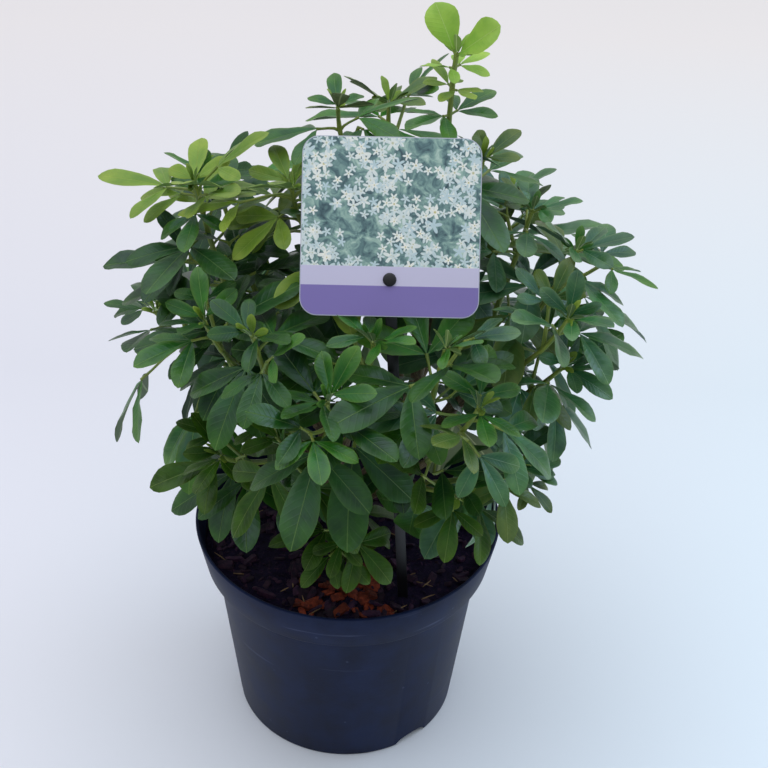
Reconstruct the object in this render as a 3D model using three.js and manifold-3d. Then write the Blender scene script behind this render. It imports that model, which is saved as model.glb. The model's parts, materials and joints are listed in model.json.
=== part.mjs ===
// An evergreen shrub with leaves of three leaflets, grown in a black nursery pot, with a plain
// printed label on a stick. Millimetres, +Z up, the origin at the middle of the pot's flat underside,
// the front of the plant towards -Y. The shrub is one trunk, tapering boughs and leafy masses.
import * as THREE from "three";
import { mergeVertices } from "three/addons/utils/BufferGeometryUtils.js";
import Module from "manifold-3d";

const wasm = await Module();
wasm.setup();

// Driving dimensions
const gap = 0.4; // clearance between pieces that meet
const pot = {
  rimRadius: 95,
  height: 145,
  bandHeight: 27.5, // the wider band under the rim
  bandFootRadius: 89.6,
  wallTopRadius: 83.6,
  baseRadius: 70.8,
  wall: 1.8,
  floor: 2.6,
  edge: 1.2, // rounding of the rim and of the foot
  sides: 32,
};
const drain = {
  notches: 3, // at the foot
  firstAngle: -51,
  width: 24,
  height: 6.5,
  depth: 9,
  holes: 4, // in the floor
  holeRadius: 5,
  ring: 42,
};
const mix = {
  top: 133,
  clear: 0.75, // from the pot's wall
  flatRadius: 18, // level ground around the trunk
  bump: 1.3,
  bumpLength: 9,
  dome: [
    [1, 2.5], // share of the radius, depth under the top
    [0.86, 1.5],
    [0.66, 0.6],
    [0.44, 0],
  ],
};
const trunk = {
  height: 34,
  footRadius: 8,
  topRadius: 6,
  flare: 5,
  flareShare: 0.33,
  lean: [5, -2],
  sides: 8,
  steps: 5,
};
const bough = {
  footRadius: 3.9,
  sideFootRadius: 2.9, // of a bough that leaves another
  tipRadius: 2.1,
  sides: 5,
  steps: 4,
  leastShare: 0.3, // of a shoot's line, where the bough ends and its leafy mass begins
  follow: 0.62, // how far a side bough first keeps to its parent's way
  open: 0.75, // first slope of a bough that leaves the trunk, outwards against up
  startHandle: 0.36,
  endHandle: 0.33,
};
const stem = { footRadius: 2.1, tipRadius: 1.4, sides: 3, steps: 2, straight: true, leastShare: 0.06 };
const twig = {
  footRadius: 1.3,
  tipRadius: 1.2,
  sides: 3,
  steps: 1,
  straight: true,
  length: 24,
  open: 50, // degrees from the stem
  outward: 0.5, // pull towards the outside of the crown
  leafShare: 0.96, // of its length, where its own pair of leaves stands
  pair: { size: 25, petiole: 9, open: 42, sag: 0.05 },
};
const leaf = {
  rootShare: 0.5, // of the petiole's root against the knuckle
  knuckle: 1.7, // where the three leaflets meet
  knuckleSwell: 1.3, // its thickness against the leaflet's
  rear: 130, // degrees from the middle leaflet round to the knuckle's rear corners
  thickness: 1.1,
  width: 0.44, // of the leaflet's length
  widest: 0.58, // share of the length
  tip: [0.97, 0.4], // the blunt tip's corners, shares of the length and of half the width
  sideShare: 0.8, // a side leaflet's length against the middle one's
  spread: 62, // degrees from the middle leaflet to a side one
  droop: 10, // degrees that the leaflets hang from the petiole's line
  fold: 0.22, // rise of the margins against half the leaflet's width
  curl: 0.06, // fall of the leaflet's tip against its length
  toSky: 0.9, // how the blades face the light
  toSide: 0.55,
  clearance: 0.6, // round a leaf that is tried for its place
  sunk: 3, // of a petiole, in and beside its stem, where its pair may touch
  sagDroop: 30, // further droop, in degrees, and curl of a leaf that is pulled down by its own weight
  sagCurl: 0.1,
  vary: { turn: 0.2, open: 8, size: 0.12, petiole: 0.15, spread: 8, droop: 6 },
  // Turned aside and lowered by these degrees, and shrunk to these shares
  tries: [
    [0, 0, 1],
    [0, 12, 1],
    [0, -12, 1],
    [15, 0, 1],
    [-15, 0, 1],
    [12, 14, 0.95],
    [-12, 14, 0.95],
    [28, -6, 0.95],
    [-28, -6, 0.95],
    [0, 24, 0.9],
    [14, -10, 0.8],
    [-14, -10, 0.8],
    [0, 0, 0.7],
  ],
};
const seed = 41;
// Pairs of leaves down each kind of shoot, from its tip: distance from the tip, leaflet length, petiole
// length, how far the petiole opens from the stem in degrees, how much its own weight pulls it down,
// and whether a side twig stands there
const pairs = {
  mature: [
    { back: 1, size: 25, petiole: 6, open: 42, sag: 0 },
    { back: 12, size: 38, petiole: 15, open: 64, sag: 0.08 },
    { back: 27, size: 48, petiole: 22, open: 74, sag: 0.25, twig: true },
    { back: 48, size: 53, petiole: 28, open: 84, sag: 0.42 },
  ],
  leader: [
    { back: 1, size: 34, petiole: 4, open: 36, sag: 0 },
    { back: 7, size: 20, petiole: 5, open: 60, sag: 0 },
    { back: 19, size: 19, petiole: 6, open: 66, sag: 0 },
    { back: 34, size: 26, petiole: 7, open: 74, sag: 0 },
  ],
  fan: [
    { back: 1, size: 26, petiole: 6, open: 46, sag: 0 },
    { back: 4, size: 42, petiole: 16, open: 70, sag: 0 },
    { back: 11, size: 28, petiole: 10, open: 82, sag: 0.1 },
    { back: 30, size: 44, petiole: 22, open: 88, sag: 1 },
    { back: 54, size: 50, petiole: 26, open: 88, sag: 1.4, twig: true },
  ],
};
const label = {
  side: 92,
  corner: 9,
  thickness: 0.8,
  centre: [21, -44, 376],
  tilt: 35, // leans back from upright
  turn: 0.5,
  pinDrop: 27, // the pin sits this far under the card's centre
  pinRadius: 2.1,
  headRadius: 3.6,
  headHeight: 1.4,
  pinSunk: 1.2, // of the pin, in its cap and in the plate behind the card
  plate: [9, 10.8, 1.5],
  bladeWidth: 6,
  bladeDepth: 2.1,
  bladePoint: 14, // length of the pointed end, and half the width that it keeps
  bladeTip: 1.2,
  entry: [35, -59], // where the stick enters the mix
  bury: 70,
  clearBefore: 70, // no leaf grows this far in front of the card
};

// The shoots: the tip's place, the shoot that carries it and how far up that one's line it leaves it,
// the length in leaf, the lift of its tip, its kind where it isn't mature, scales for its leaves,
// petioles, opening and sag, the turn of its first pair round the stem in degrees, and how many
// pairs it keeps where it lost the rest
const shoots = {
  top_leader: {
    tip: [52, 12, 446], at: 1, leafy: 92, lift: 0.9, kind: "leader",
    leaves: 1, turn: 310, sag: 0, petioles: 0.7,
  },
  left_young: {
    tip: [-84, -4, 374], at: 0.62, leafy: 92, lift: 0.7, kind: "fan",
    leaves: 1, turn: 270, opening: 0.9, sag: 0, petioles: 0.85,
  },
  right_top: {
    tip: [120, -20, 350], at: 0.66, leafy: 84, lift: 0.5,
    leaves: 1.1, turn: 110, opening: 1.1, sag: 0.5, petioles: 0.85,
  },
  centre: {
    tip: [50, -98, 338], from: "right_top", at: 0.22, leafy: 84, lift: 0.5,
    leaves: 1.1, turn: 20, opening: 0.6, sag: 0.5, petioles: 0.7,
  },
  low_left: {
    tip: [-31, -98, 274], at: 0.5, leafy: 78, lift: 0.3,
    leaves: 1, turn: 340, opening: 1.2, petioles: 0.85, pairs: 3,
  },
  low_right: {
    tip: [60, -97, 242], at: 0.5, leafy: 66, lift: -0.4,
    leaves: 1.1, turn: 230, opening: 1.1, petioles: 1.4, pairs: 2,
  },
  back_left: {
    tip: [-82, 78, 330], at: 0.78, leafy: 88, lift: 0.5,
    leaves: 1.2, turn: 140, opening: 0.9, sag: 2, petioles: 1.6,
  },
  back_right: {
    tip: [88, 84, 322], at: 0.58, leafy: 88, lift: 0.5,
    leaves: 1.2, turn: 30, opening: 0.8, sag: 0, petioles: 0.7,
  },
  top_left: {
    tip: [-9, 20, 410], from: "top_leader", at: 0.42, leafy: 86, lift: 0.9,
    leaves: 0.95, turn: 280, sag: 1.5, petioles: 0.7,
  },
  upper_left: {
    tip: [-32, -8, 376], from: "top_leader", at: 0.3, leafy: 80, lift: 0.5, kind: "fan",
    leaves: 1.1, turn: 110, opening: 1.1, sag: 0, petioles: 1.2,
  },
  upper_right: {
    tip: [70, 22, 380], from: "top_leader", at: 0.4, leafy: 84, lift: 0.5,
    leaves: 1, turn: 50, sag: 1.5, petioles: 0.85,
  },
  left_mid: {
    tip: [-74, -62, 325], from: "left_young", at: 0.38, leafy: 82, lift: 0.4,
    leaves: 1.05, turn: 140, opening: 0.9, petioles: 0.7,
  },
  left_front: {
    tip: [-47, -86, 334], from: "low_left", at: 0.34, leafy: 84, lift: 0.5,
    leaves: 1.1, turn: 180, opening: 1.1, sag: 3, petioles: 0.7,
  },
  left_skirt: {
    tip: [-68, -66, 240], from: "left_young", at: 0.14, leafy: 70, lift: -0.1,
    leaves: 1.05, turn: 130, opening: 0.7, sag: 0, petioles: 0.7,
  },
  low_front: {
    tip: [0, -80, 196], from: "low_left", at: 0.2, leafy: 60, lift: -0.2,
    leaves: 0.85, turn: 250, opening: 1.1, sag: 3, petioles: 0.7,
  },
  front_middle: {
    tip: [-8, -110, 312], from: "low_left", at: 0.3, leafy: 76, lift: 0.3,
    leaves: 1.1, turn: 230, petioles: 0.85,
  },
  under_label: {
    tip: [14, -80, 328], from: "low_left", at: 0.26, leafy: 66, lift: 0.3,
    leaves: 1.1, turn: 310, sag: 0.5,
  },
  centre_low: {
    tip: [68, -106, 308], from: "low_right", at: 0.26, leafy: 76, lift: 0.4,
    leaves: 1.1, turn: 240, opening: 1.2, sag: 3, petioles: 1.2,
  },
  right_upper: {
    tip: [98, 8, 358], from: "right_top", at: 0.4, leafy: 80, lift: 0.7,
    leaves: 0.85, turn: 70, sag: 0.5,
  },
  right_mid: {
    tip: [114, -62, 334], from: "right_top", at: 0.42, leafy: 78, lift: 0.4,
    leaves: 1, turn: 60, opening: 0.6, sag: 3, petioles: 0.7,
  },
  right_low: {
    tip: [116, -46, 292], from: "right_top", at: 0.25, leafy: 78, lift: 0.1,
    leaves: 1, turn: 260, opening: 0.7, sag: 2, petioles: 0.85,
  },
  right_skirt: {
    tip: [92, -72, 244], from: "low_right", at: 0.3, leafy: 70, lift: 0,
    leaves: 0.85, turn: 300, opening: 0.9, sag: 3, petioles: 0.7,
  },
  back_top: {
    tip: [18, 66, 392], from: "top_leader", at: 0.3, leafy: 88, lift: 0.7,
    leaves: 1.2, turn: 30, opening: 1.2, sag: 1.5, petioles: 0.7,
  },
  back_middle: {
    tip: [4, 116, 322], from: "back_right", at: 0.3, leafy: 84, lift: 0.4,
    leaves: 1.2, turn: 290, opening: 0.9, sag: 2, petioles: 1.4,
  },
  back_low_left: {
    tip: [-64, 102, 238], from: "back_left", at: 0.2, leafy: 78, lift: 0,
    leaves: 1.2, turn: 350, opening: 0.7, sag: 0, petioles: 1.4,
  },
  back_low_right: {
    tip: [58, 110, 232], from: "back_right", at: 0.18, leafy: 78, lift: 0,
    leaves: 1.2, turn: 190, opening: 0.8, sag: 2, petioles: 1.4,
  },
  left_back: {
    tip: [-116, 32, 268], from: "back_left", at: 0.24, leafy: 80, lift: 0.1,
    leaves: 0.95, turn: 290, opening: 0.8, sag: 1.5, petioles: 1.6,
  },
};
const hub = new THREE.Vector3(0, 0, mix.top - 10); // shoots point away from here

const material = (colour, roughness, metalness = 0) =>
  new THREE.MeshStandardMaterial({ color: colour, roughness, metalness });
const materials = {
  pot: material(0x23262e, 0.55),
  mix: material(0x2a1a14, 0.95),
  bark: material(0x7a6a45, 0.8),
  mature: material(0x2f5d31, 0.45),
  young: material(0x7fa83a, 0.45),
  stick: material(0x15171a, 0.5),
  card: material(0x8d86b8, 0.35),
};
const up = new THREE.Vector3(0, 0, 1);
const radians = THREE.MathUtils.degToRad;

// Seeded random numbers between -1 and 1
function spreadFrom(seed) {
  let state = seed >>> 0;
  return () => {
    state = (state + 0x6d2b79f5) >>> 0;
    let t = state;
    t = Math.imul(t ^ (t >>> 15), t | 1);
    t ^= t + Math.imul(t ^ (t >>> 7), t | 61);
    return (((t ^ (t >>> 14)) >>> 0) / 4294967296) * 2 - 1;
  };
}

// Solids
function solidFrom(positions, triangles) {
  return new wasm.Manifold(
    new wasm.Mesh({
      numProp: 3,
      vertProperties: Float32Array.from(positions),
      triVerts: Uint32Array.from(triangles),
    }),
  );
}

function solidOf(geometry) {
  const bare = geometry.clone();
  bare.deleteAttribute("normal");
  bare.deleteAttribute("uv");
  const merged = mergeVertices(bare, 1e-4);
  const p = merged.attributes.position.array;
  const kept = [];
  for (let i = 0; i < merged.index.count; i += 3) {
    const [a, b, c] = [0, 1, 2].map((k) => merged.index.array[i + k]);
    if (a !== b && b !== c && a !== c) kept.push(a, b, c);
  }
  return solidFrom(p, kept);
}

function joined(solids) {
  return solids.reduce((whole, s) => whole.add(s));
}

function largest(solid) {
  return solid.decompose().sort((a, b) => b.volume() - a.volume())[0];
}

function meshOf(name, solid, finish) {
  const { numProp, vertProperties, triVerts } = solid.getMesh();
  const position = new Float32Array((vertProperties.length / numProp) * 3);
  for (let i = 0; i < position.length / 3; i++)
    position.set(vertProperties.subarray(i * numProp, i * numProp + 3), i * 3);
  const geometry = new THREE.BufferGeometry();
  geometry.setAttribute("position", new THREE.BufferAttribute(position, 3));
  geometry.setIndex(new THREE.BufferAttribute(Uint32Array.from(triVerts), 1));
  geometry.computeVertexNormals();
  const mesh = new THREE.Mesh(geometry, finish);
  mesh.name = name;
  return mesh;
}

// Part of another curve, measured along its length
class Stretch extends THREE.Curve {
  constructor(curve, from, to) {
    super();
    Object.assign(this, { curve, from, to });
  }

  getPoint(t, target = new THREE.Vector3()) {
    return target.copy(this.curve.getPointAt(THREE.MathUtils.lerp(this.from, this.to, t)));
  }
}

// A cylinder bent along a curve, its radius given for each share of the length. The rings of a
// straight one all stand square to the line between its ends, which keeps its sides flat.
function limb(curve, radiusAt, { sides, steps, straight = false, longer = 0 }) {
  const geometry = new THREE.CylinderGeometry(1, 1, 1, sides, steps);
  const chord = new THREE.LineCurve3(curve.getPointAt(0), curve.getPointAt(1));
  const frames = (straight ? chord : curve).computeFrenetFrames(steps);
  const position = geometry.attributes.position;
  const v = new THREE.Vector3();
  for (let i = 0; i < position.count; i++) {
    v.fromBufferAttribute(position, i);
    const ring = Math.round((v.y + 0.5) * steps);
    const share = ring / steps;
    const place = curve.getPointAt(share);
    place.addScaledVector(frames.normals[ring], v.z * radiusAt(share));
    place.addScaledVector(frames.binormals[ring], v.x * radiusAt(share));
    if (ring === 0 || ring === steps) place.addScaledVector(frames.tangents[ring], ring ? longer : -longer);
    position.setXYZ(i, place.x, place.y, place.z);
  }
  return solidOf(geometry);
}

const taper = (from, to, extra = 0) => (share) => THREE.MathUtils.lerp(from, to, share) + extra;

// Pot and potting mix
const bandFoot = pot.height - pot.bandHeight;

function potProfile() {
  const { rimRadius, baseRadius, height, wall, floor, edge, bandFootRadius, wallTopRadius } = pot;
  return [
    [0, 0],
    [baseRadius - edge, 0],
    [baseRadius, edge],
    [wallTopRadius, bandFoot],
    [bandFootRadius - edge / 2, bandFoot],
    [bandFootRadius, bandFoot + edge / 2],
    [rimRadius, height - edge],
    [rimRadius - edge * 0.4, height],
    [rimRadius - wall, height],
    ...insideProfile().reverse(),
    [0, floor],
  ].map(([r, z]) => new THREE.Vector2(r, z));
}

// The inside from the floor's edge up to just under the rim
function insideProfile(inset = 0) {
  const { rimRadius, baseRadius, height, wall, floor, edge, bandFootRadius, wallTopRadius } = pot;
  const lift = inset * 0.7; // keeps the inset even along the sloping step
  return [
    [baseRadius - wall - inset, floor + inset],
    [wallTopRadius - wall - inset, bandFoot - wall + lift],
    [bandFootRadius - wall - edge / 2 - inset, bandFoot + wall + lift],
    [rimRadius - wall - edge / 2 - inset, height - edge],
  ];
}

// A lathe turns round Y, so it is laid over to turn round Z
function turned(profile, sides) {
  return new THREE.LatheGeometry(profile, sides).rotateX(Math.PI / 2);
}

function drainCut() {
  const cuts = [];
  for (let i = 0; i < drain.notches; i++) {
    const notch = new THREE.BoxGeometry(drain.depth * 2, drain.width, drain.height * 2);
    notch.translate(pot.baseRadius, 0, 0);
    notch.rotateZ(radians(drain.firstAngle + (360 / drain.notches) * i));
    cuts.push(solidOf(notch));
  }
  for (let i = 0; i < drain.holes; i++) {
    const hole = new THREE.CylinderGeometry(drain.holeRadius, drain.holeRadius, pot.floor * 4, 8);
    hole.rotateX(Math.PI / 2).translate(drain.ring, 0, 0);
    hole.rotateZ((Math.PI * 2 * i) / drain.holes);
    cuts.push(solidOf(hole));
  }
  return joined(cuts);
}

function potSolid() {
  return solidOf(turned(potProfile(), pot.sides)).subtract(drainCut());
}

function mixHeight(x, y, z) {
  const r = Math.hypot(x, y);
  if (r < mix.flatRadius + gap) return z;
  return z + Math.sin(x / mix.bumpLength + 1) * Math.cos(y / mix.bumpLength) * mix.bump;
}

function mixSolid(slot) {
  const [low, step, shelf, rim] = insideProfile(mix.clear);
  const edgeTop = mix.top - mix.dome[0][1];
  const outer = THREE.MathUtils.mapLinear(edgeTop, shelf[1], rim[1], shelf[0], rim[0]);
  const profile = [
    [0, low[1]],
    low,
    step,
    shelf,
    ...mix.dome.map(([share, depth]) => [outer * share, mix.top - depth]),
    [mix.flatRadius, mix.top],
    [0, mix.top],
  ].map(([r, z]) => new THREE.Vector2(r, z));
  const geometry = turned(profile, pot.sides / 2);
  const position = geometry.attributes.position;
  for (let i = 0; i < position.count; i++) {
    const [x, y, z] = [position.getX(i), position.getY(i), position.getZ(i)];
    if (z > edgeTop - gap) position.setZ(i, mixHeight(x, y, z));
  }
  return solidOf(geometry).subtract(slot);
}

// Label: a card held by a pin at the head of a flat stick
const labelFrame = new THREE.Matrix4()
  .makeTranslation(...label.centre)
  .multiply(new THREE.Matrix4().makeRotationX(radians(90 - label.tilt)))
  .multiply(new THREE.Matrix4().makeRotationZ(radians(label.turn)));

function cardSolid() {
  const { side, corner, thickness, pinDrop, pinRadius } = label;
  const h = side / 2;
  const outline = new THREE.Shape();
  outline.moveTo(-h + corner, -h);
  outline.lineTo(h - corner, -h).absarc(h - corner, -h + corner, corner, -Math.PI / 2, 0);
  outline.lineTo(h, h - corner).absarc(h - corner, h - corner, corner, 0, Math.PI / 2);
  outline.lineTo(-h + corner, h).absarc(-h + corner, h - corner, corner, Math.PI / 2, Math.PI);
  outline.lineTo(-h, -h + corner).absarc(-h + corner, -h + corner, corner, Math.PI, Math.PI * 1.5);
  // The hole is wider than the pin by the gap, and by a little more for its flat sides
  outline.holes.push(new THREE.Path().absarc(0, -pinDrop, pinRadius + gap * 1.6, 0, Math.PI * 2, true));
  const card = { depth: thickness, bevelEnabled: false, curveSegments: 4 };
  return solidOf(new THREE.ExtrudeGeometry(outline, card).applyMatrix4(labelFrame));
}

// The space in front of the card, which the leaves leave free
function viewOfCard() {
  const { side, clearBefore } = label;
  const space = new THREE.BoxGeometry(side * 1.02, side * 1.02, clearBefore);
  space.translate(0, 0, clearBefore / 2 + 1);
  return solidOf(space.applyMatrix4(labelFrame));
}

function stickBlade(grow = 0) {
  const head = new THREE.Vector3(0, -label.pinDrop, -label.plate[2] - gap).applyMatrix4(labelFrame);
  const entry = new THREE.Vector3(...label.entry, mix.top);
  const foot = entry.clone().sub(head).setLength(label.bury).add(entry);
  const direction = head.clone().sub(foot);
  const blade = new THREE.Shape();
  const half = label.bladeWidth / 2 + grow;
  const end = label.bladeTip + grow;
  blade.moveTo(-end, -grow).lineTo(end, -grow);
  blade.lineTo(half, label.bladePoint).lineTo(half, direction.length() + grow);
  blade.lineTo(-half, direction.length() + grow).lineTo(-half, label.bladePoint);
  const depth = label.bladeDepth + grow * 2;
  const geometry = new THREE.ExtrudeGeometry(blade, { depth, bevelEnabled: false });
  geometry.translate(0, 0, -depth / 2);
  const rise = direction.clone().normalize();
  const side = new THREE.Vector3(1, 0, 0).addScaledVector(rise, -rise.x).normalize();
  const front = side.clone().cross(rise);
  geometry.applyMatrix4(new THREE.Matrix4().makeBasis(side, rise, front).setPosition(foot));
  return solidOf(geometry);
}

function stickSolid() {
  const { side, pinRadius, headRadius, headHeight, pinSunk, thickness, pinDrop } = label;
  const pin = new THREE.CylinderGeometry(pinRadius, pinRadius, thickness + (gap + pinSunk) * 2, 10);
  pin.rotateX(Math.PI / 2).translate(0, -pinDrop, thickness / 2);
  const cap = new THREE.CylinderGeometry(headRadius * 0.6, headRadius, headHeight, 10);
  cap.rotateX(Math.PI / 2).translate(0, -pinDrop, thickness + gap + headHeight / 2);
  const plate = new THREE.BoxGeometry(...label.plate);
  plate.translate(0, -pinDrop, -gap - label.plate[2] / 2);
  const headPieces = [pin, cap, plate].map((g) => solidOf(g.applyMatrix4(labelFrame)));
  // The blade stops at the card's back
  const before = new THREE.BoxGeometry(side, side, side / 4);
  before.translate(0, 0, side / 8 - gap);
  const blade = stickBlade().subtract(solidOf(before.applyMatrix4(labelFrame)));
  return joined([largest(blade), ...headPieces]);
}

// Trunk and the line of each shoot
const trunkFoot = new THREE.Vector3(0, 0, mix.top + gap);
const trunkTip = new THREE.Vector3(...trunk.lean, mix.top + trunk.height);
const trunkLine = new THREE.QuadraticBezierCurve3(
  trunkFoot,
  new THREE.Vector3(0, 0, mix.top + trunk.height / 2),
  trunkTip,
);

function trunkRadius(share, extra = 0) {
  const flare = trunk.flare * Math.max(0, 1 - share / trunk.flareShare) ** 2;
  return THREE.MathUtils.lerp(trunk.footRadius, trunk.topRadius, share) + flare + extra;
}

function shootLine(shoot) {
  const tip = new THREE.Vector3(...shoot.tip);
  const away = tip.clone().sub(hub).normalize();
  const endWay = away.addScaledVector(up, shoot.lift).normalize();
  const parent = shoot.from && shoots[shoot.from].line;
  const start = (parent ?? trunkLine).getPointAt(shoot.at);
  const reach = tip.distanceTo(start);
  const outward = new THREE.Vector3(tip.x - start.x, tip.y - start.y, 0).normalize();
  const startWay = parent
    ? parent.getTangentAt(shoot.at).multiplyScalar(bough.follow).add(tip.clone().sub(start).normalize())
    : outward.multiplyScalar(bough.open).add(up);
  startWay.normalize();
  return new THREE.CubicBezierCurve3(
    start,
    start.clone().addScaledVector(startWay, reach * bough.startHandle),
    tip.clone().addScaledVector(endWay, -reach * bough.endHandle),
    tip,
  );
}

Object.values(shoots).forEach((shoot) => {
  shoot.line = shootLine(shoot);
  shoot.entry = Math.max(bough.leastShare, 1 - shoot.leafy / shoot.line.getLength());
});

// Cuts a limb clear of those it leaves or passes, and keeps its main piece
function clearOf(solid, grownLimbs) {
  const cut = grownLimbs.reduce((rest, other) => rest.subtract(other), solid);
  return largest(cut.asOriginal().simplify(gap * 0.1));
}

function boughSolid(shoot, extra = 0) {
  const footRadius = shoot.from ? bough.sideFootRadius : bough.footRadius;
  const line = new Stretch(shoot.line, 0, shoot.entry);
  return limb(line, taper(footRadius, bough.tipRadius, extra), { ...bough, longer: extra });
}

// A leaf of three leaflets on its petiole, as one closed mesh
const lobes = [-1, 0, 1];

function leafSolid(leafAt, margin = 0) {
  const { base, way, face, size, petiole, spread, droop, curl } = leafAt;
  const plane = { way, side: face.clone().cross(way), face };
  const centre = base.clone().addScaledVector(way, petiole);
  const points = [];
  const faces = [];
  const put = (origin, frame, x, y, z) => {
    const point = origin.clone().addScaledVector(frame.way, x);
    return points.push(point.addScaledVector(frame.side, y).addScaledVector(frame.face, z)) - 1;
  };
  const half = leaf.thickness / 2 + margin;
  const knuckle = leaf.knuckle + margin;
  const top = put(centre, plane, 0, 0, half * leaf.knuckleSwell);
  const bottom = put(centre, plane, 0, 0, -half * leaf.knuckleSwell);
  const valleys = [-leaf.rear, -spread / 2, spread / 2, leaf.rear].map((degrees) => {
    const a = radians(degrees);
    return put(centre, plane, Math.cos(a) * knuckle, Math.sin(a) * knuckle, 0);
  });
  lobes.forEach((lobe, i) => {
    const frame = drooped(plane, radians(spread) * lobe, radians(droop));
    const long = size * (lobe ? leaf.sideShare : 1) + margin;
    const wide = (long * leaf.width) / 2 + margin;
    const rise = wide * leaf.fold;
    const fall = long * curl;
    const [tipShare, tipHalf] = leaf.tip;
    const outline = [
      [leaf.widest, -1, rise],
      [tipShare, -tipHalf, -fall],
      [tipShare, tipHalf, -fall],
      [leaf.widest, 1, rise],
    ].map(([x, y, z]) => put(centre, frame, long * x, wide * y, z));
    const loop = [valleys[i], ...outline, valleys[i + 1]];
    for (let k = 0; k < 5; k++) {
      faces.push(loop[k], loop[k + 1], top);
      faces.push(loop[k + 1], loop[k], bottom);
    }
  });
  // The root is the knuckle's rear made small, so that the petiole has flat sides
  const rear = [top, valleys[3], bottom, valleys[0]];
  const root = rear.map((index) => {
    const fromCentre = points[index].clone().sub(centre);
    return points.push(base.clone().addScaledVector(fromCentre, leaf.rootShare)) - 1;
  });
  rear.forEach((index, k) => {
    const next = (k + 1) % 4;
    faces.push(index, rear[next], root[k], root[k], rear[next], root[next]);
  });
  faces.push(root[0], root[1], root[2], root[0], root[2], root[3]);
  return solidFrom(
    points.flatMap((v) => [v.x, v.y, v.z]),
    faces,
  );
}

// The plane of a leaflet that turns aside by one angle and hangs by another
function drooped(plane, aside, hang) {
  const flat = plane.way.clone().multiplyScalar(Math.cos(aside));
  flat.addScaledVector(plane.side, Math.sin(aside));
  const way = flat.clone().multiplyScalar(Math.cos(hang)).addScaledVector(plane.face, -Math.sin(hang));
  const face = plane.face.clone().multiplyScalar(Math.cos(hang)).addScaledVector(flat, Math.sin(hang));
  return { way, face, side: face.clone().cross(way) };
}

// Growth rule: the leaves and twigs of a shoot, from its tip down
function aroundStem(way) {
  const level = new THREE.Vector3().crossVectors(up, way);
  if (level.length() < 0.2) level.set(1, 0, 0).addScaledVector(way, -way.x);
  level.normalize();
  const over = new THREE.Vector3().crossVectors(way, level);
  return (angle) => level.clone().multiplyScalar(Math.cos(angle)).addScaledVector(over, Math.sin(angle));
}

function facing(way, base) {
  const outward = base.clone().sub(hub).normalize();
  const light = up.clone().multiplyScalar(leaf.toSky).addScaledVector(outward, leaf.toSide);
  return light.addScaledVector(way, -light.dot(way)).normalize();
}

function pairOfLeaves(base, stemWay, angle, rule, shoot, random) {
  const { leaves: scale, petioles = 1, opening = 1 } = shoot;
  const { vary, sagDroop, sagCurl } = leaf;
  const sag = rule.sag * (shoot.sag ?? 1);
  return [0, Math.PI].map((turn) => {
    const across = aroundStem(stemWay)(angle + turn + random() * vary.turn);
    const open = radians(rule.open * opening + random() * vary.open);
    const way = stemWay.clone().multiplyScalar(Math.cos(open)).addScaledVector(across, Math.sin(open));
    way.addScaledVector(up, -sag).normalize();
    return {
      base,
      way,
      size: rule.size * scale * (1 + random() * vary.size),
      petiole: rule.petiole * petioles * (1 + random() * vary.petiole),
      spread: leaf.spread + random() * vary.spread,
      droop: leaf.droop + sag * sagDroop + random() * vary.droop,
      curl: leaf.curl + sag * sagCurl,
    };
  });
}

function growth(shoot, order) {
  const random = spreadFrom(seed + order);
  const line = new Stretch(shoot.line, shoot.entry + gap / 2 / shoot.line.getLength(), 1);
  const length = line.getLength();
  const leaves = [];
  const twigs = [];
  const kept = pairs[shoot.kind ?? "mature"].slice(0, shoot.pairs);
  kept.forEach((rule, k) => {
    const share = 1 - rule.back / length;
    if (share < stem.leastShare) return;
    const base = line.getPointAt(share);
    const way = line.getTangentAt(share);
    const angle = radians(shoot.turn) + (k * Math.PI) / 2;
    leaves.push(...pairOfLeaves(base, way, angle, rule, shoot, random));
    if (rule.twig) twigs.push(sideTwig(base, way, angle + random() * 0.5, shoot, random));
  });
  return { line, leaves, twigs };
}

function sideTwig(base, stemWay, angle, shoot, random) {
  const across = aroundStem(stemWay)(random() > 0 ? angle : angle + Math.PI);
  const outward = base.clone().sub(hub).normalize();
  const open = radians(twig.open);
  const way = stemWay.clone().multiplyScalar(Math.cos(open)).addScaledVector(across, Math.sin(open));
  way.addScaledVector(outward, twig.outward).normalize();
  const tip = base.clone().addScaledVector(way, twig.length * shoot.leaves * (1 + random() * 0.2));
  const line = new THREE.LineCurve3(base, tip);
  const nearTip = line.getPointAt(twig.leafShare);
  const leaves = pairOfLeaves(nearTip, way, angle + Math.PI / 2, twig.pair, shoot, random);
  return { line, leaves };
}

// Solids already in place, with their boxes, against which each new piece is tested
const taken = [];
const woodOf = (name) => name + " wood";

function take(solid, owner) {
  taken.push({ solid, owner, box: solid.boundingBox() });
}

function apart(a, b) {
  return [0, 1, 2].some((i) => a.max[i] < b.min[i] || b.max[i] < a.min[i]);
}

function isClear(solid, against) {
  const box = solid.boundingBox();
  return taken.every((t) => !against(t) || apart(box, t.box) || solid.intersect(t.solid).isEmpty());
}

// Tries the planned leaf, then turned and smaller ones, and gives up on a spot that stays crowded
function fittedLeaf(plan, name) {
  for (const [turn, lower, shrink] of leaf.tries) {
    const face = facing(plan.way, plan.base);
    const way = plan.way.clone().applyAxisAngle(face, radians(turn));
    way.applyAxisAngle(face.cross(way).normalize(), radians(lower));
    const petiole = plan.petiole * shrink;
    const leafAt = { ...plan, way, size: plan.size * shrink, petiole, face: facing(way, plan.base) };
    const elsewhere = (other) => other.owner !== name && other.owner !== woodOf(name);
    if (!isClear(leafSolid(leafAt, leaf.clearance), elsewhere)) continue;
    const base = plan.base.clone().addScaledVector(way, leaf.sunk);
    const outer = leafSolid({ ...leafAt, base, petiole: petiole - leaf.sunk });
    if (!isClear(outer, (other) => other.owner === name)) continue;
    take(outer, name);
    return leafSolid(leafAt);
  }
  return null;
}

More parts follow.
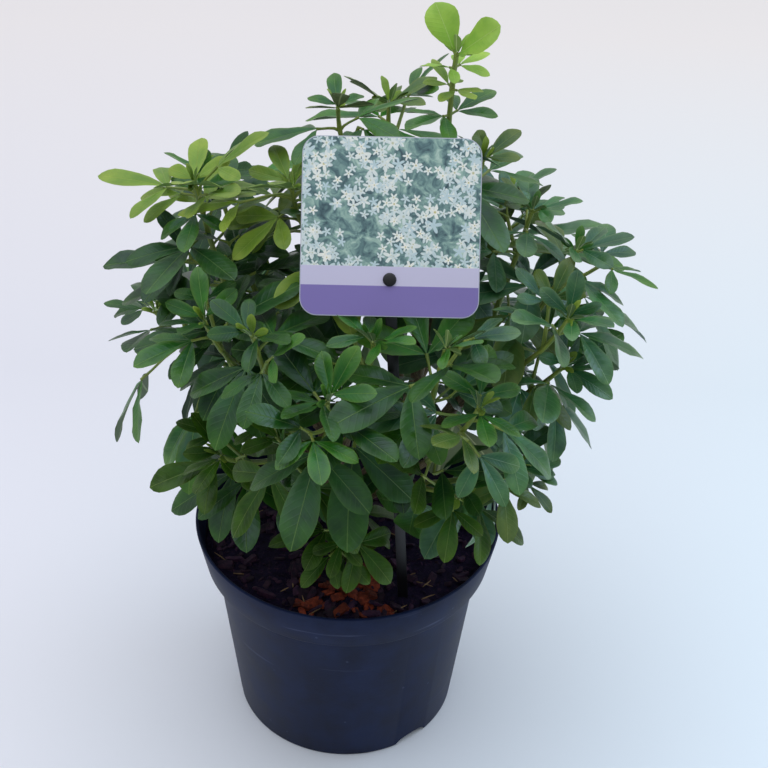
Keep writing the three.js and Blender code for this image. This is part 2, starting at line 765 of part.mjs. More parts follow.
// Assembly
const plant = new THREE.Group();
const place = (name, solid, finish) => plant.add(meshOf(name, solid, finish));

const stick = stickSolid();
const card = cardSolid();
const pottingMix = mixSolid(stickBlade(gap));
const potBody = potSolid();
place("pot", potBody, materials.pot);
place("potting_mix", pottingMix, materials.mix);
place("label_stick", stick, materials.stick);
place("label_card", card, materials.card);
[potBody, pottingMix, stick, card, viewOfCard()].forEach((solid) => take(solid, "pot"));

const trunkSolid = limb(trunkLine, trunkRadius, trunk);
place("trunk", trunkSolid, materials.bark);
take(trunkSolid, "trunk");

const woods = [limb(trunkLine, (share) => trunkRadius(share, gap), { ...trunk, longer: gap })];
for (const [name, shoot] of Object.entries(shoots)) {
  const solid = clearOf(boughSolid(shoot), woods);
  place("bough_" + name, solid, materials.bark);
  shoot.grownBough = boughSolid(shoot, gap);
  woods.push(shoot.grownBough);
  take(solid, "bough");
}

const grown = Object.entries(shoots).map(([name, shoot], order) => {
  const plan = growth(shoot, order);
  const wood = [clearOf(limb(plan.line, taper(stem.footRadius, stem.tipRadius), stem), [shoot.grownBough])];
  take(wood[0], woodOf(name));
  return { name, shoot, plan, wood, leaves: [] };
});

for (const mass of grown) {
  for (const t of mass.plan.twigs) {
    const owner = woodOf(mass.name);
    const wide = limb(t.line, taper(twig.footRadius, twig.tipRadius, gap), twig);
    if (!isClear(wide, (other) => other.owner !== owner)) continue;
    const solid = limb(t.line, taper(twig.footRadius, twig.tipRadius), twig);
    mass.wood.push(solid);
    take(solid, owner);
    mass.plan.leaves.push(...t.leaves);
  }
}

const mostLeaves = Math.max(...grown.map((mass) => mass.plan.leaves.length));
for (let i = 0; i < mostLeaves; i++) {
  for (const mass of grown) {
    const plan = mass.plan.leaves[i];
    const solid = plan && fittedLeaf(plan, mass.name);
    if (solid) mass.leaves.push(solid);
  }
}

for (const mass of grown) {
  const whole = joined([...mass.wood, ...mass.leaves]).asOriginal().simplify(leaf.thickness * 0.05);
  place("foliage_" + mass.name, largest(whole), mass.shoot.kind ? materials.young : materials.mature);
}

export default plant;
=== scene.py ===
# A young evergreen shrub with leaves of three leaflets in a black nursery pot, with a plain
# printed label on a stick. The stems, leaves, mix, pot and label are built around the frame.
from bisect import bisect_right
import json
import math

import bmesh
import bpy
import numpy as np
from mathutils import Matrix, Vector, noise
from mathutils.bvhtree import BVHTree

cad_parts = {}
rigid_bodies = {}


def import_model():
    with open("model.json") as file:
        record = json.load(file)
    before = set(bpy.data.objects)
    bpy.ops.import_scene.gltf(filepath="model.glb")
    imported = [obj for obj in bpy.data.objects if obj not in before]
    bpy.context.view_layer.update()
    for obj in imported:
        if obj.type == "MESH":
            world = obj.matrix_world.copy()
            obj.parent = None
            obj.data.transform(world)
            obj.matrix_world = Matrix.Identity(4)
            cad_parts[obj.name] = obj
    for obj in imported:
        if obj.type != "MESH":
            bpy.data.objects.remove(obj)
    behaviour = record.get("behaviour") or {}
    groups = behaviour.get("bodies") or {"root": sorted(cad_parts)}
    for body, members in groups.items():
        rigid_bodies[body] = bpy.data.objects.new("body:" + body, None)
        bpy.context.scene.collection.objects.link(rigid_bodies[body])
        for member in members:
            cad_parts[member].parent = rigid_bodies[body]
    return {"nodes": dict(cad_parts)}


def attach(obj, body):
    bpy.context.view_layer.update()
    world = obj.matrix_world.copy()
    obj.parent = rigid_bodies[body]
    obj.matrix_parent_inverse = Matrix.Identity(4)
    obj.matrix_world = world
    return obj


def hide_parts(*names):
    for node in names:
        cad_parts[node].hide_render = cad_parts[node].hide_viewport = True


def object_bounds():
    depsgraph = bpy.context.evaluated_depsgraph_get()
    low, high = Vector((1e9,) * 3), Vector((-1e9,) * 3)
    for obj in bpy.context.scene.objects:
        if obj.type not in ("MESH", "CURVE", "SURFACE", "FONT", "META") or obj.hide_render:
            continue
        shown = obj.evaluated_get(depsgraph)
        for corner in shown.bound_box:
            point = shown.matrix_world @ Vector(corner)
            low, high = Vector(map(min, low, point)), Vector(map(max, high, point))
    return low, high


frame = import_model()
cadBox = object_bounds()
mm = 0.001
up = Vector((0, 0, 1))
print("frame:", len(frame["nodes"]), "nodes")


# Small helpers
def linear(hexColour):  # an sRGB hex value as the linear colour that a shader takes
    parts = [int(hexColour[i:i + 2], 16) / 255 for i in (0, 2, 4)]
    return [c / 12.92 if c <= 0.04045 else ((c + 0.055) / 1.055) ** 2.4 for c in parts] + [1]


def spreadFrom(seed):  # seeded numbers from -1 to 1, by the same rule as the solids
    state = seed & 0xFFFFFFFF

    def draw():
        nonlocal state
        state = (state + 0x6D2B79F5) & 0xFFFFFFFF
        t = ((state ^ (state >> 15)) * (state | 1)) & 0xFFFFFFFF
        t ^= (t + (((t ^ (t >> 7)) * (t | 61)) & 0xFFFFFFFF)) & 0xFFFFFFFF
        return (t ^ (t >> 14)) / 4294967296 * 2 - 1

    return draw


def newMaterial(name):
    material = bpy.data.materials.new(name)
    material.use_nodes = True
    tree = material.node_tree
    return material, tree, tree.nodes["Principled BSDF"]


def setNode(node, values=None, links=None):  # a hex value is a colour, a linked node gives its first output
    for name, value in (values or {}).items():
        node.inputs[name].default_value = linear(value) if isinstance(value, str) else value
    for name, source in (links or {}).items():
        if isinstance(source, bpy.types.Node):
            source = next(socket for socket in source.outputs if socket.enabled)
        node.id_data.links.new(source, node.inputs[name])
    return node


def addNode(tree, kind, values=None, links=None, stops=(), **settings):  # stops are for a colour ramp
    node = tree.nodes.new("ShaderNode" + kind)
    for name, value in settings.items():
        setattr(node, name, value)
    for _ in stops[2:]:
        node.color_ramp.elements.new(0.5)
    for i, (position, tone) in enumerate(stops):
        node.color_ramp.elements[i].position = position
        node.color_ramp.elements[i].color = linear(tone) if isinstance(tone, str) else (tone, tone, tone, 1)
    return setNode(node, values, links)


def shownPiece(name, mesh, materials, sharpAt=50):
    mesh.shade_smooth()
    mesh.set_sharp_from_angle(angle=math.radians(sharpAt))
    piece = bpy.data.objects.new(name, mesh)
    bpy.context.scene.collection.objects.link(piece)
    for material in materials:
        mesh.materials.append(material)
    return piece


def newPiece(name, bm, materials):  # a piece at the origin, from a shape in millimetres
    mesh = bpy.data.meshes.new(name)
    bm.transform(Matrix.Scale(mm, 4))
    bm.to_mesh(mesh)
    bm.free()
    return shownPiece(name, mesh, materials)


def placePiece(piece, slot, *nodes):
    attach(piece, "root")
    if nodes:
        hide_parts(*nodes)


# Camera: the photograph's place and angle
camera = {"place": (20, -712.5, 761.5), "below": 35.95, "roll": 1.75, "lens": 70.31, "sensor": 36,
          "farthest": 50}


def makeCamera():
    data = bpy.data.cameras.new("camera")
    data.lens = camera["lens"]
    data.sensor_width = camera["sensor"]
    data.clip_end = camera["farthest"]
    made = bpy.data.objects.new("camera", data)
    turn = Matrix.Rotation(math.radians(90 - camera["below"]), 4, "X")
    made.matrix_world = (Matrix.Translation(Vector(camera["place"]) * mm) @ turn
                         @ Matrix.Rotation(math.radians(camera["roll"]), 4, "Z"))
    bpy.context.scene.collection.objects.link(made)
    bpy.context.scene.camera = made


makeCamera()
print("camera: in place")

# Growth rule: the source's own, with its named sizes, in millimetres
seed = 41
mixTop = 133
hub = Vector((0, 0, mixTop - 10))
gap = 0.4
trunk = {"height": 34, "footRadius": 8, "topRadius": 6, "flare": 5, "flareShare": 0.33, "lean": (5, -2)}
bough = {"footRadius": 3.9, "sideFootRadius": 2.9, "tipRadius": 2.1, "leastShare": 0.3,
         "follow": 0.62, "open": 0.75, "startHandle": 0.36, "endHandle": 0.33}
stem = {"footRadius": 2.1, "tipRadius": 1.4, "leastShare": 0.06}
twig = {"footRadius": 1.3, "tipRadius": 1.2, "length": 24, "lengthVary": 0.2, "open": 50, "outward": 0.5,
        "turnVary": 0.5, "leafShare": 0.96}
leaf = {"rootShare": 0.5, "knuckle": 1.7, "knuckleSwell": 1.3, "rear": 130, "thickness": 1.1,
        "width": 0.44, "widest": 0.58, "tip": (0.97, 0.4), "sideShare": 0.8, "spread": 62,
        "droop": 10, "fold": 0.22, "curl": 0.06, "toSky": 0.9, "toSide": 0.55,
        "clearance": 0.6, "sunk": 3, "sagDroop": 30, "sagCurl": 0.1,
        "breadth": 0.9}  # of a grown leaf, against the plain leaf's width
vary = {"turn": 0.2, "open": 8, "size": 0.12, "petiole": 0.15, "spread": 8, "droop": 6}
tries = [(0, 0, 1), (0, 12, 1), (0, -12, 1), (15, 0, 1), (-15, 0, 1), (12, 14, 0.95), (-12, 14, 0.95),
         (28, -6, 0.95), (-28, -6, 0.95), (0, 24, 0.9), (14, -10, 0.8), (-14, -10, 0.8), (0, 0, 0.7)]
pairs = {  # down each kind of shoot, from its tip
    "mature": [
        {"back": 1, "size": 25, "petiole": 6, "open": 42, "sag": 0},
        {"back": 12, "size": 38, "petiole": 15, "open": 64, "sag": 0.08},
        {"back": 27, "size": 48, "petiole": 22, "open": 74, "sag": 0.25, "twig": True},
        {"back": 48, "size": 53, "petiole": 28, "open": 84, "sag": 0.42},
    ],
    "leader": [
        {"back": 1, "size": 34, "petiole": 4, "open": 36, "sag": 0, "breadth": 1.5, "toFront": 0.9,
         "lobes": (0,)},
        {"back": 7, "size": 20, "petiole": 5, "open": 60, "sag": 0},
        {"back": 19, "size": 19, "petiole": 6, "open": 66, "sag": 0},
        {"back": 34, "size": 26, "petiole": 7, "open": 74, "sag": 0},
    ],
    "fan": [
        {"back": 1, "size": 26, "petiole": 6, "open": 46, "sag": 0},
        {"back": 4, "size": 42, "petiole": 22, "open": 70, "sag": 0, "breadth": 0.74, "shorter": 0.85},
        {"back": 11, "size": 28, "petiole": 10, "open": 82, "sag": 0.1},
        {"back": 30, "size": 44, "petiole": 22, "open": 88, "sag": 1},
        {"back": 54, "size": 50, "petiole": 26, "open": 88, "sag": 1.4, "twig": True},
    ],
}
twigPair = {"size": 25, "petiole": 9, "open": 42, "sag": 0.05}
sideTwigOrder, olderOrder, fineTwigOrder, budOrder = 4, 5, 6, 7  # for leaves that no row of pairs holds
usual = {"kind": "mature", "pairs": None, "opening": 1, "sag": 1, "petioles": 1}
shoots = {
    "top_leader": dict(tip=(52, 12, 446), at=1, leafy=92, lift=0.9, kind="leader",
                       leaves=1, turn=310, sag=0, petioles=0.7),
    "left_young": dict(tip=(-84, -4, 374), at=0.62, leafy=92, lift=0.7, kind="fan",
                       leaves=1, turn=270, opening=0.9, sag=0, petioles=0.85),
    "right_top": dict(tip=(120, -20, 350), at=0.66, leafy=84, lift=0.5,
                      leaves=1.1, turn=110, opening=1.1, sag=0.5, petioles=0.85),
    "centre": dict(tip=(50, -98, 338), parent="right_top", at=0.22, leafy=84, lift=0.5,
                   leaves=1.1, turn=20, opening=0.6, sag=0.5, petioles=0.7),
    "low_left": dict(tip=(-31, -98, 274), at=0.5, leafy=78, lift=0.3,
                     leaves=1, turn=340, opening=1.2, petioles=0.85, pairs=3),
    "low_right": dict(tip=(60, -97, 242), at=0.5, leafy=66, lift=-0.4,
                      leaves=1.1, turn=230, opening=1.1, petioles=1.4, pairs=2),
    "back_left": dict(tip=(-82, 78, 330), at=0.78, leafy=88, lift=0.5,
                      leaves=1.2, turn=140, opening=0.9, sag=2, petioles=1.6),
    "back_right": dict(tip=(88, 84, 322), at=0.58, leafy=88, lift=0.5,
                       leaves=1.2, turn=30, opening=0.8, sag=0, petioles=0.7),
    "top_left": dict(tip=(-9, 20, 410), parent="top_leader", at=0.42, leafy=86, lift=0.9,
                     leaves=0.95, turn=280, sag=1.5, petioles=0.7),
    "upper_left": dict(tip=(-32, -8, 376), parent="top_leader", at=0.3, leafy=80, lift=0.5, kind="fan",
                       leaves=1.1, turn=110, opening=1.1, sag=0, petioles=1.2),
    "upper_right": dict(tip=(70, 22, 380), parent="top_leader", at=0.4, leafy=84, lift=0.5,
                        leaves=1, turn=50, sag=1.5, petioles=0.85),
    "left_mid": dict(tip=(-74, -62, 325), parent="left_young", at=0.38, leafy=82, lift=0.4,
                     leaves=1.05, turn=140, opening=0.9, petioles=0.7),
    "left_front": dict(tip=(-47, -86, 334), parent="low_left", at=0.34, leafy=84, lift=0.5,
                       leaves=1.1, turn=180, opening=1.1, sag=3, petioles=0.7),
    "left_skirt": dict(tip=(-68, -66, 240), parent="left_young", at=0.14, leafy=70, lift=-0.1,
                       leaves=1.05, turn=130, opening=0.7, sag=0, petioles=0.7),
    "low_front": dict(tip=(0, -80, 196), parent="low_left", at=0.2, leafy=60, lift=-0.2,
                      leaves=0.85, turn=250, opening=1.1, sag=3, petioles=0.7),
    "front_middle": dict(tip=(-8, -110, 312), parent="low_left", at=0.3, leafy=76, lift=0.3,
                         leaves=1.1, turn=230, petioles=0.85),
    "under_label": dict(tip=(14, -80, 328), parent="low_left", at=0.26, leafy=66, lift=0.3,
                        leaves=1.1, turn=310, sag=0.5),
    "centre_low": dict(tip=(68, -106, 308), parent="low_right", at=0.26, leafy=76, lift=0.4,
                       leaves=1.1, turn=240, opening=1.2, sag=3, petioles=1.2),
    "right_upper": dict(tip=(98, 8, 358), parent="right_top", at=0.4, leafy=80, lift=0.7,
                        leaves=0.85, turn=70, sag=0.5),
    "right_mid": dict(tip=(114, -62, 334), parent="right_top", at=0.42, leafy=78, lift=0.4,
                      leaves=1, turn=60, opening=0.6, sag=3, petioles=0.7),
    "right_low": dict(tip=(116, -46, 292), parent="right_top", at=0.25, leafy=78, lift=0.1,
                      leaves=1, turn=260, opening=0.7, sag=2, petioles=0.85),
    "right_skirt": dict(tip=(92, -72, 244), parent="low_right", at=0.3, leafy=70, lift=0,
                        leaves=0.85, turn=300, opening=0.9, sag=3, petioles=0.7),
    "back_top": dict(tip=(18, 66, 392), parent="top_leader", at=0.3, leafy=88, lift=0.7,
                     leaves=1.2, turn=30, opening=1.2, sag=1.5, petioles=0.7),
    "back_middle": dict(tip=(4, 116, 322), parent="back_right", at=0.3, leafy=84, lift=0.4,
                        leaves=1.2, turn=290, opening=0.9, sag=2, petioles=1.4),
    "back_low_left": dict(tip=(-64, 102, 238), parent="back_left", at=0.2, leafy=78, lift=0,
                          leaves=1.2, turn=350, opening=0.7, sag=0, petioles=1.4),
    "back_low_right": dict(tip=(58, 110, 232), parent="back_right", at=0.18, leafy=78, lift=0,
                           leaves=1.2, turn=190, opening=0.8, sag=2, petioles=1.4),
    "left_back": dict(tip=(-116, 32, 268), parent="back_left", at=0.24, leafy=80, lift=0.1,
                      leaves=0.95, turn=290, opening=0.8, sag=1.5, petioles=1.6),
}
shoots = {name: {**usual, **shoot} for name, shoot in shoots.items()}


class Line:  # a Bézier line that is walked by its length
    def __init__(self, *handles):
        self.handles = [Vector(h) for h in handles]
        self.steps = 200
        points = [self.bezier(i / self.steps) for i in range(self.steps + 1)]
        self.far = [0.0]
        for a, b in zip(points, points[1:]):
            self.far.append(self.far[-1] + (b - a).length)
        self.length = self.far[-1]

    def bezier(self, t):
        row = self.handles
        while len(row) > 1:
            row = [a.lerp(b, t) for a, b in zip(row, row[1:])]
        return row[0]

    def time(self, share):
        goal = min(max(share, 0), 1) * self.length
        i = min(max(bisect_right(self.far, goal) - 1, 0), self.steps - 1)
        return (i + (goal - self.far[i]) / (self.far[i + 1] - self.far[i])) / self.steps

    def at(self, share):
        return self.bezier(self.time(share))

    def way(self, share, step=1e-3):
        t = self.time(share)
        return (self.bezier(min(t + step, 1)) - self.bezier(max(t - step, 0))).normalized()


trunkLine = Line((0, 0, mixTop + gap), (0, 0, mixTop + trunk["height"] / 2),
                 (*trunk["lean"], mixTop + trunk["height"]))


def trunkRadius(share):
    flare = trunk["flare"] * max(0, 1 - share / trunk["flareShare"]) ** 2
    return trunk["footRadius"] + (trunk["topRadius"] - trunk["footRadius"]) * share + flare


def shootLine(shoot):
    tip = Vector(shoot["tip"])
    endWay = ((tip - hub).normalized() + up * shoot["lift"]).normalized()
    parent = shoots[shoot["parent"]]["line"] if "parent" in shoot else None
    start = (parent or trunkLine).at(shoot["at"])
    reach = (tip - start).length
    if parent:
        startWay = parent.way(shoot["at"]) * bough["follow"] + (tip - start).normalized()
    else:
        startWay = Vector((tip.x - start.x, tip.y - start.y, 0)).normalized() * bough["open"] + up
    return Line(start, start + startWay.normalized() * reach * bough["startHandle"],
                tip - endWay * reach * bough["endHandle"], tip)


for shoot in shoots.values():
    shoot["line"] = shootLine(shoot)
    shoot["entry"] = max(bough["leastShare"], 1 - shoot["leafy"] / shoot["line"].length)


def aroundStem(way, angle, steepest=0.2):
    level = up.cross(way)
    if level.length < steepest:
        level = Vector((1, 0, 0)) - way * way.x
    level.normalize()
    return level * math.cos(angle) + way.cross(level) * math.sin(angle)


def facing(way, base):
    light = up * leaf["toSky"] + (base - hub).normalized() * leaf["toSide"]
    return (light - way * light.dot(way)).normalized()


def pairOfLeaves(base, stemWay, angle, rule, shoot, random):
    sag = rule["sag"] * shoot["sag"]
    made = []
    for turn in (0, math.pi):
        across = aroundStem(stemWay, angle + turn + random() * vary["turn"])
        opened = math.radians(rule["open"] * shoot["opening"] + random() * vary["open"])
        made.append({
            "base": base,
            "way": (stemWay * math.cos(opened) + across * math.sin(opened) - up * sag).normalized(),
            "stemWay": stemWay,
            "size": rule["size"] * shoot["leaves"] * (1 + random() * vary["size"]),
            "petiole": rule["petiole"] * shoot["petioles"] * (1 + random() * vary["petiole"]),
            "spread": leaf["spread"] + random() * vary["spread"],
            "droop": leaf["droop"] + sag * leaf["sagDroop"] + random() * vary["droop"],
            "curl": leaf["curl"] + sag * leaf["sagCurl"],
            "breadth": rule.get("breadth", 1 if shoot["kind"] == "leader" else leaf["breadth"]),
            "shorter": rule.get("shorter", 1),
            "toFront": rule.get("toFront", 0),
            "lobes": rule.get("lobes", (-1, 0, 1)),
        })
    return made


def sideTwig(base, stemWay, angle, shoot, random):
    across = aroundStem(stemWay, angle if random() > 0 else angle + math.pi)
    opened = math.radians(twig["open"])
    way = stemWay * math.cos(opened) + across * math.sin(opened)
    way = (way + (base - hub).normalized() * twig["outward"]).normalized()
    tip = base + way * twig["length"] * shoot["leaves"] * (1 + random() * twig["lengthVary"])
    nearTip = base.lerp(tip, twig["leafShare"])
    return {"base": base, "tip": tip,
            "leaves": pairOfLeaves(nearTip, way, angle + math.pi / 2, twigPair, shoot, random)}


def keptPairs(shoot):
    return pairs[shoot["kind"]][:shoot["pairs"]]


def growth(shoot, order):
    random = spreadFrom(seed + order)
    line = shoot["line"]
    entry = shoot["entry"] + gap / 2 / line.length
    length = line.length * (1 - entry)
    leaves, twigs = [], []
    phase = math.radians(shoot["turn"])
    for k, rule in enumerate(keptPairs(shoot)):
        share = 1 - rule["back"] / length
        if share < stem["leastShare"]:
            continue
        place = entry + (1 - entry) * share
        base, way = line.at(place), line.way(place)
        angle = phase + k * math.pi / 2
        leaves += [dict(made, pair=k) for made in pairOfLeaves(base, way, angle, rule, shoot, random)]
        if rule.get("twig"):
            twigs.append(sideTwig(base, way, angle + random() * twig["turnVary"], shoot, random))
    return {"leaves": leaves, "twigs": twigs, "phase": phase}


# Room for each leaf: it is tested as the source's plain leaf against all that is already in place
taken = []
overMix = {"radius": 92, "above": 0.5, "looked": 130, "lookedAbove": 1}  # no leaf dips into the pot
label = {"side": 92, "corner": 9, "thickness": 0.8, "centre": (21, -44, 376), "tilt": 35, "turn": 0.5,
         "pinDrop": 27, "clearBefore": (1, 71), "clearShare": 0.51, "entry": (35, -59), "bury": 70}
labelFrame = (Matrix.Translation(label["centre"]) @ Matrix.Rotation(math.radians(90 - label["tilt"]), 4, "X")
              @ Matrix.Rotation(math.radians(label["turn"]), 4, "Z"))
toLabel = labelFrame.inverted()


def bent(axes, aside, hang):  # a leaflet's axes, turned aside and hanging
    way, side, face = axes
    flat = way * math.cos(aside) + side * math.sin(aside)
    down = flat * math.cos(hang) - face * math.sin(hang)
    over = face * math.cos(hang) + flat * math.sin(hang)
    return down, over.cross(down), over


def plainLeaf(made, margin=0):
    axes = (made["way"], made["face"].cross(made["way"]), made["face"])
    centre = made["base"] + made["way"] * made["petiole"]
    points, faces = [], []

    def put(origin, frameAxes, x, y, z):
        points.append(origin + frameAxes[0] * x + frameAxes[1] * y + frameAxes[2] * z)
        return len(points) - 1

    half = leaf["thickness"] / 2 + margin
    knuckle = leaf["knuckle"] + margin
    top = put(centre, axes, 0, 0, half * leaf["knuckleSwell"])
    bottom = put(centre, axes, 0, 0, -half * leaf["knuckleSwell"])
    valleys = []
    for degrees in (-leaf["rear"], -made["spread"] / 2, made["spread"] / 2, leaf["rear"]):
        a = math.radians(degrees)
        valleys.append(put(centre, axes, math.cos(a) * knuckle, math.sin(a) * knuckle, 0))
    for i, lobe in enumerate((-1, 0, 1)):
        lobeAxes = bent(axes, math.radians(made["spread"]) * lobe, math.radians(made["droop"]))
        long = made["size"] * (leaf["sideShare"] if lobe else 1) + margin
        wide = long * leaf["width"] / 2 + margin
        tipShare, tipHalf = leaf["tip"]
        rise, fall = wide * leaf["fold"], long * made["curl"]
        outline = [put(centre, lobeAxes, long * x, wide * y, z) for x, y, z in (
            (leaf["widest"], -1, rise), (tipShare, -tipHalf, -fall),
            (tipShare, tipHalf, -fall), (leaf["widest"], 1, rise))]
        loop = [valleys[i], *outline, valleys[i + 1]]
        for a, b in zip(loop, loop[1:]):
            faces += [(a, b, top), (b, a, bottom)]
    rear = [top, valleys[3], bottom, valleys[0]]
    root = []
    for index in rear:
        points.append(made["base"] + (points[index] - centre) * leaf["rootShare"])
        root.append(len(points) - 1)
    faces += [(rear[k], rear[(k + 1) % 4], root[(k + 1) % 4], root[k]) for k in range(4)]
    return points, faces


def take(points, faces, owner):
    box = np.array([p[:] for p in points])
    taken.append({"tree": BVHTree.FromPolygons(points, faces), "owner": owner,
                  "low": box.min(axis=0), "high": box.max(axis=0)})


def isClear(body, against):
    points, faces = body
    box = np.array([p[:] for p in points])
    low, high = box.min(axis=0), box.max(axis=0)
    if low[2] < mixTop + overMix["lookedAbove"] and np.hypot(low[0], low[1]) < overMix["looked"]:
        floor = mixTop + overMix["above"]
        if any(p.z < floor and math.hypot(p.x, p.y) < overMix["radius"] for p in points):
            return False
    reach = label["side"] * label["clearShare"]
    near, far = label["clearBefore"]
    for p in points:
        local = toLabel @ p
        if abs(local.x) < reach and abs(local.y) < reach and near < local.z < far:
            return False
    tree = None
    for other in taken:
        if not against(other["owner"]) or (high < other["low"]).any() or (other["high"] < low).any():
            continue
        tree = tree or BVHTree.FromPolygons(points, faces)
        if tree.overlap(other["tree"]):
            return False
    return True


def fittedLeaf(plan, name, clearance=leaf["clearance"]):
    for turn, lower, shrink in tries:
        face = facing(plan["way"], plan["base"])
        way = Matrix.Rotation(math.radians(turn), 3, face) @ plan["way"]
        way = Matrix.Rotation(math.radians(lower), 3, face.cross(way).normalized()) @ way
        made = dict(plan, way=way, size=plan["size"] * shrink, petiole=plan["petiole"] * shrink,
                    face=facing(way, plan["base"]))
        if not isClear(plainLeaf(made, clearance), lambda owner: owner not in (name, name + " wood")):
            continue
        outer = plainLeaf(dict(made, base=plan["base"] + way * leaf["sunk"],
                               petiole=made["petiole"] - leaf["sunk"]))
        if isClear(outer, lambda owner: owner == name):
            take(*outer, name)
            return made
    return None


def plainTube(start, end, startRadius, endRadius):  # three-sided
    way = (end - start).normalized()
    across = way.orthogonal().normalized()
    thirds = (0, math.tau / 3, math.tau * 2 / 3)
    ring = [across * math.cos(a) + way.cross(across) * math.sin(a) for a in thirds]
    points = [start + r * startRadius for r in ring] + [end + r * endRadius for r in ring]
    faces = [(k, (k + 1) % 3, (k + 1) % 3 + 3, k + 3) for k in range(3)] + [(2, 1, 0), (3, 4, 5)]
    return points, faces


for name, node in frame["nodes"].items():
    if not name.startswith("foliage_"):
        take([v.co / mm for v in node.data.vertices], [p.vertices[:] for p in node.data.polygons],
             "bough" if name.startswith("bough_") else name)
sprays = []
for order, (name, shoot) in enumerate(shoots.items()):
    sprays.append(dict(growth(shoot, order), name=name, shoot=shoot, grown=[], grownTwigs=[]))
    start = shoot["line"].at(shoot["entry"] + gap / 2 / shoot["line"].length)
    take(*plainTube(start, Vector(shoot["tip"]), stem["footRadius"], stem["tipRadius"]), name + " wood")
for spray in sprays:
    own = spray["name"] + " wood"
    for made in spray["twigs"]:
        wide = plainTube(made["base"], made["tip"], twig["footRadius"] + gap, twig["tipRadius"] + gap)
        if isClear(wide, lambda owner: owner != own):
            take(*plainTube(made["base"], made["tip"], twig["footRadius"], twig["tipRadius"]), own)
            spray["grownTwigs"].append(made)
            spray["leaves"] += [dict(plan, pair=sideTwigOrder) for plan in made["leaves"]]
for i in range(max(len(spray["leaves"]) for spray in sprays)):
    for spray in sprays:
        made = i < len(spray["leaves"]) and fittedLeaf(spray["leaves"][i], spray["name"])
        if made:
            spray["grown"].append(made)
print("growth:", sum(len(spray["grown"]) for spray in sprays), "leaves on",
      len(sprays), "shoots and", sum(len(spray["grownTwigs"]) for spray in sprays), "twigs")

# Finer growth than the source's: short twigs in the leaf joints, small leaves and tip buds
finer = {
    "fanBack": (7, 20),  # down a fan from its tip, where it has more small leaves
    "fan": {"size": 32, "petiole": 12, "open": 72, "sag": 0, "breadth": 0.78},
    "older": ((66, 0.3), (84, 0.4), (102, 0.5)),  # under the source's pairs: down from the tip, and sag
    "olderPair": {"size": 44, "petiole": 24, "open": 86},
    "twigBack": (58, 78),  # down from the tip, where a leaf joint has a short twig
    "twig": {"length": 15, "lengthVary": 0.3, "foot": 3, "radius": 0.85, "open": 48, "openVary": 10,
             "turnVary": 0.4, "leafTurn": 3},
    "twigPair": {"size": 33, "petiole": 6, "open": 40, "sag": 0.05},
    "bud": {"size": 12, "petiole": 1.5, "open": 22, "sag": 0},
    "budDroop": -8,
    "bareFront": 245,  # no finer leaf stands lower than this in front, where the mix shows
    "clearance": 0.1,
}
boxLow, boxHigh = (Vector(corner) / mm for corner in cadBox)


def grownOn(spray, plan, pair):
    base, far = plan["base"], plan["base"] + plan["way"] * (plan["petiole"] + plan["size"])
    inBox = all(low < value < high for low, value, high in zip(boxLow, far, boxHigh))
    if base.y < 0 and base.z < finer["bareFront"] or not inBox:
        return False
    made = fittedLeaf(dict(plan, pair=pair), spray["name"], finer["clearance"])
    if made:
        spray["grown"].append(made)
    return bool(made)


def growFineTwig(spray, base, way, angle, random):
    fine = finer["twig"]
    across = aroundStem(way, angle + random() * fine["turnVary"])
    opened = math.radians(fine["open"] + random() * fine["openVary"])
    twigWay = (way * math.cos(opened) + across * math.sin(opened)).normalized()
    tip = base + twigWay * fine["length"] * (1 + random() * fine["lengthVary"])
    turn = random() * fine["leafTurn"]
    leaves = pairOfLeaves(tip, twigWay, turn, finer["twigPair"], spray["shoot"], random)
    thin = plainTube(base + twigWay * fine["foot"], tip, fine["radius"], fine["radius"])
    if isClear(thin, lambda owner: owner not in (spray["name"] + " wood", "bough")):
        if any([grownOn(spray, plan, fineTwigOrder) for plan in leaves]):
            spray["grownTwigs"].append({"base": base, "tip": tip, "thin": True})


def growFiner(spray, order):
    random = spreadFrom(seed * 100 + order)
    shoot, phase = spray["shoot"], spray["phase"]
    line = shoot["line"]
    for k, back in enumerate(finer["fanBack"] if shoot["kind"] == "fan" else ()):
        share, angle = 1 - back / line.length, phase + math.pi / 4 + k * math.pi / 3
        for plan in pairOfLeaves(line.at(share), line.way(share), angle, finer["fan"], shoot, random):
            grownOn(spray, plan, 1)
    for k, (back, sag) in enumerate(finer["older"]):
        share, rule = 1 - back * shoot["leaves"] / line.length, dict(finer["olderPair"], sag=sag)
        if share >= bough["leastShare"]:
            angle = phase + k * math.pi / 2
            for plan in pairOfLeaves(line.at(share), line.way(share), angle, rule, shoot, random):
                grownOn(spray, plan, olderOrder)
    for k, back in enumerate(finer["twigBack"]):
        share = 1 - back * shoot["leaves"] / line.length
        if share >= bough["leastShare"] and shoot["kind"] != "leader":
            for side in (0, math.pi):
                growFineTwig(spray, line.at(share), line.way(share), phase + k * math.pi / 2 + side, random)
    tip, angle = Vector(shoot["tip"]), phase + math.pi / 2
    for plan in pairOfLeaves(tip, line.way(1), angle, finer["bud"], shoot, random):
        spray["grown"].append(dict(plan, pair=budOrder, face=facing(plan["way"], plan["base"]),
                                   droop=finer["budDroop"]))


for order, spray in enumerate(sprays):
    growFiner(spray, order)
print("finer growth:", sum(len(spray["grown"]) for spray in sprays), "leaves and",
      sum(len(spray["grownTwigs"]) for spray in sprays), "twigs")


# Stamping: a small shape made by operators is repeated at many places, as one joined mesh
def templateOf(bm):
    bm.verts.index_update()
    corners = np.array([v.co[:] for v in bm.verts])
    faces = [[v.index for v in f.verts] for f in bm.faces]
    kinds = [f.material_index for f in bm.faces]
    bm.free()
    return corners, faces, kinds


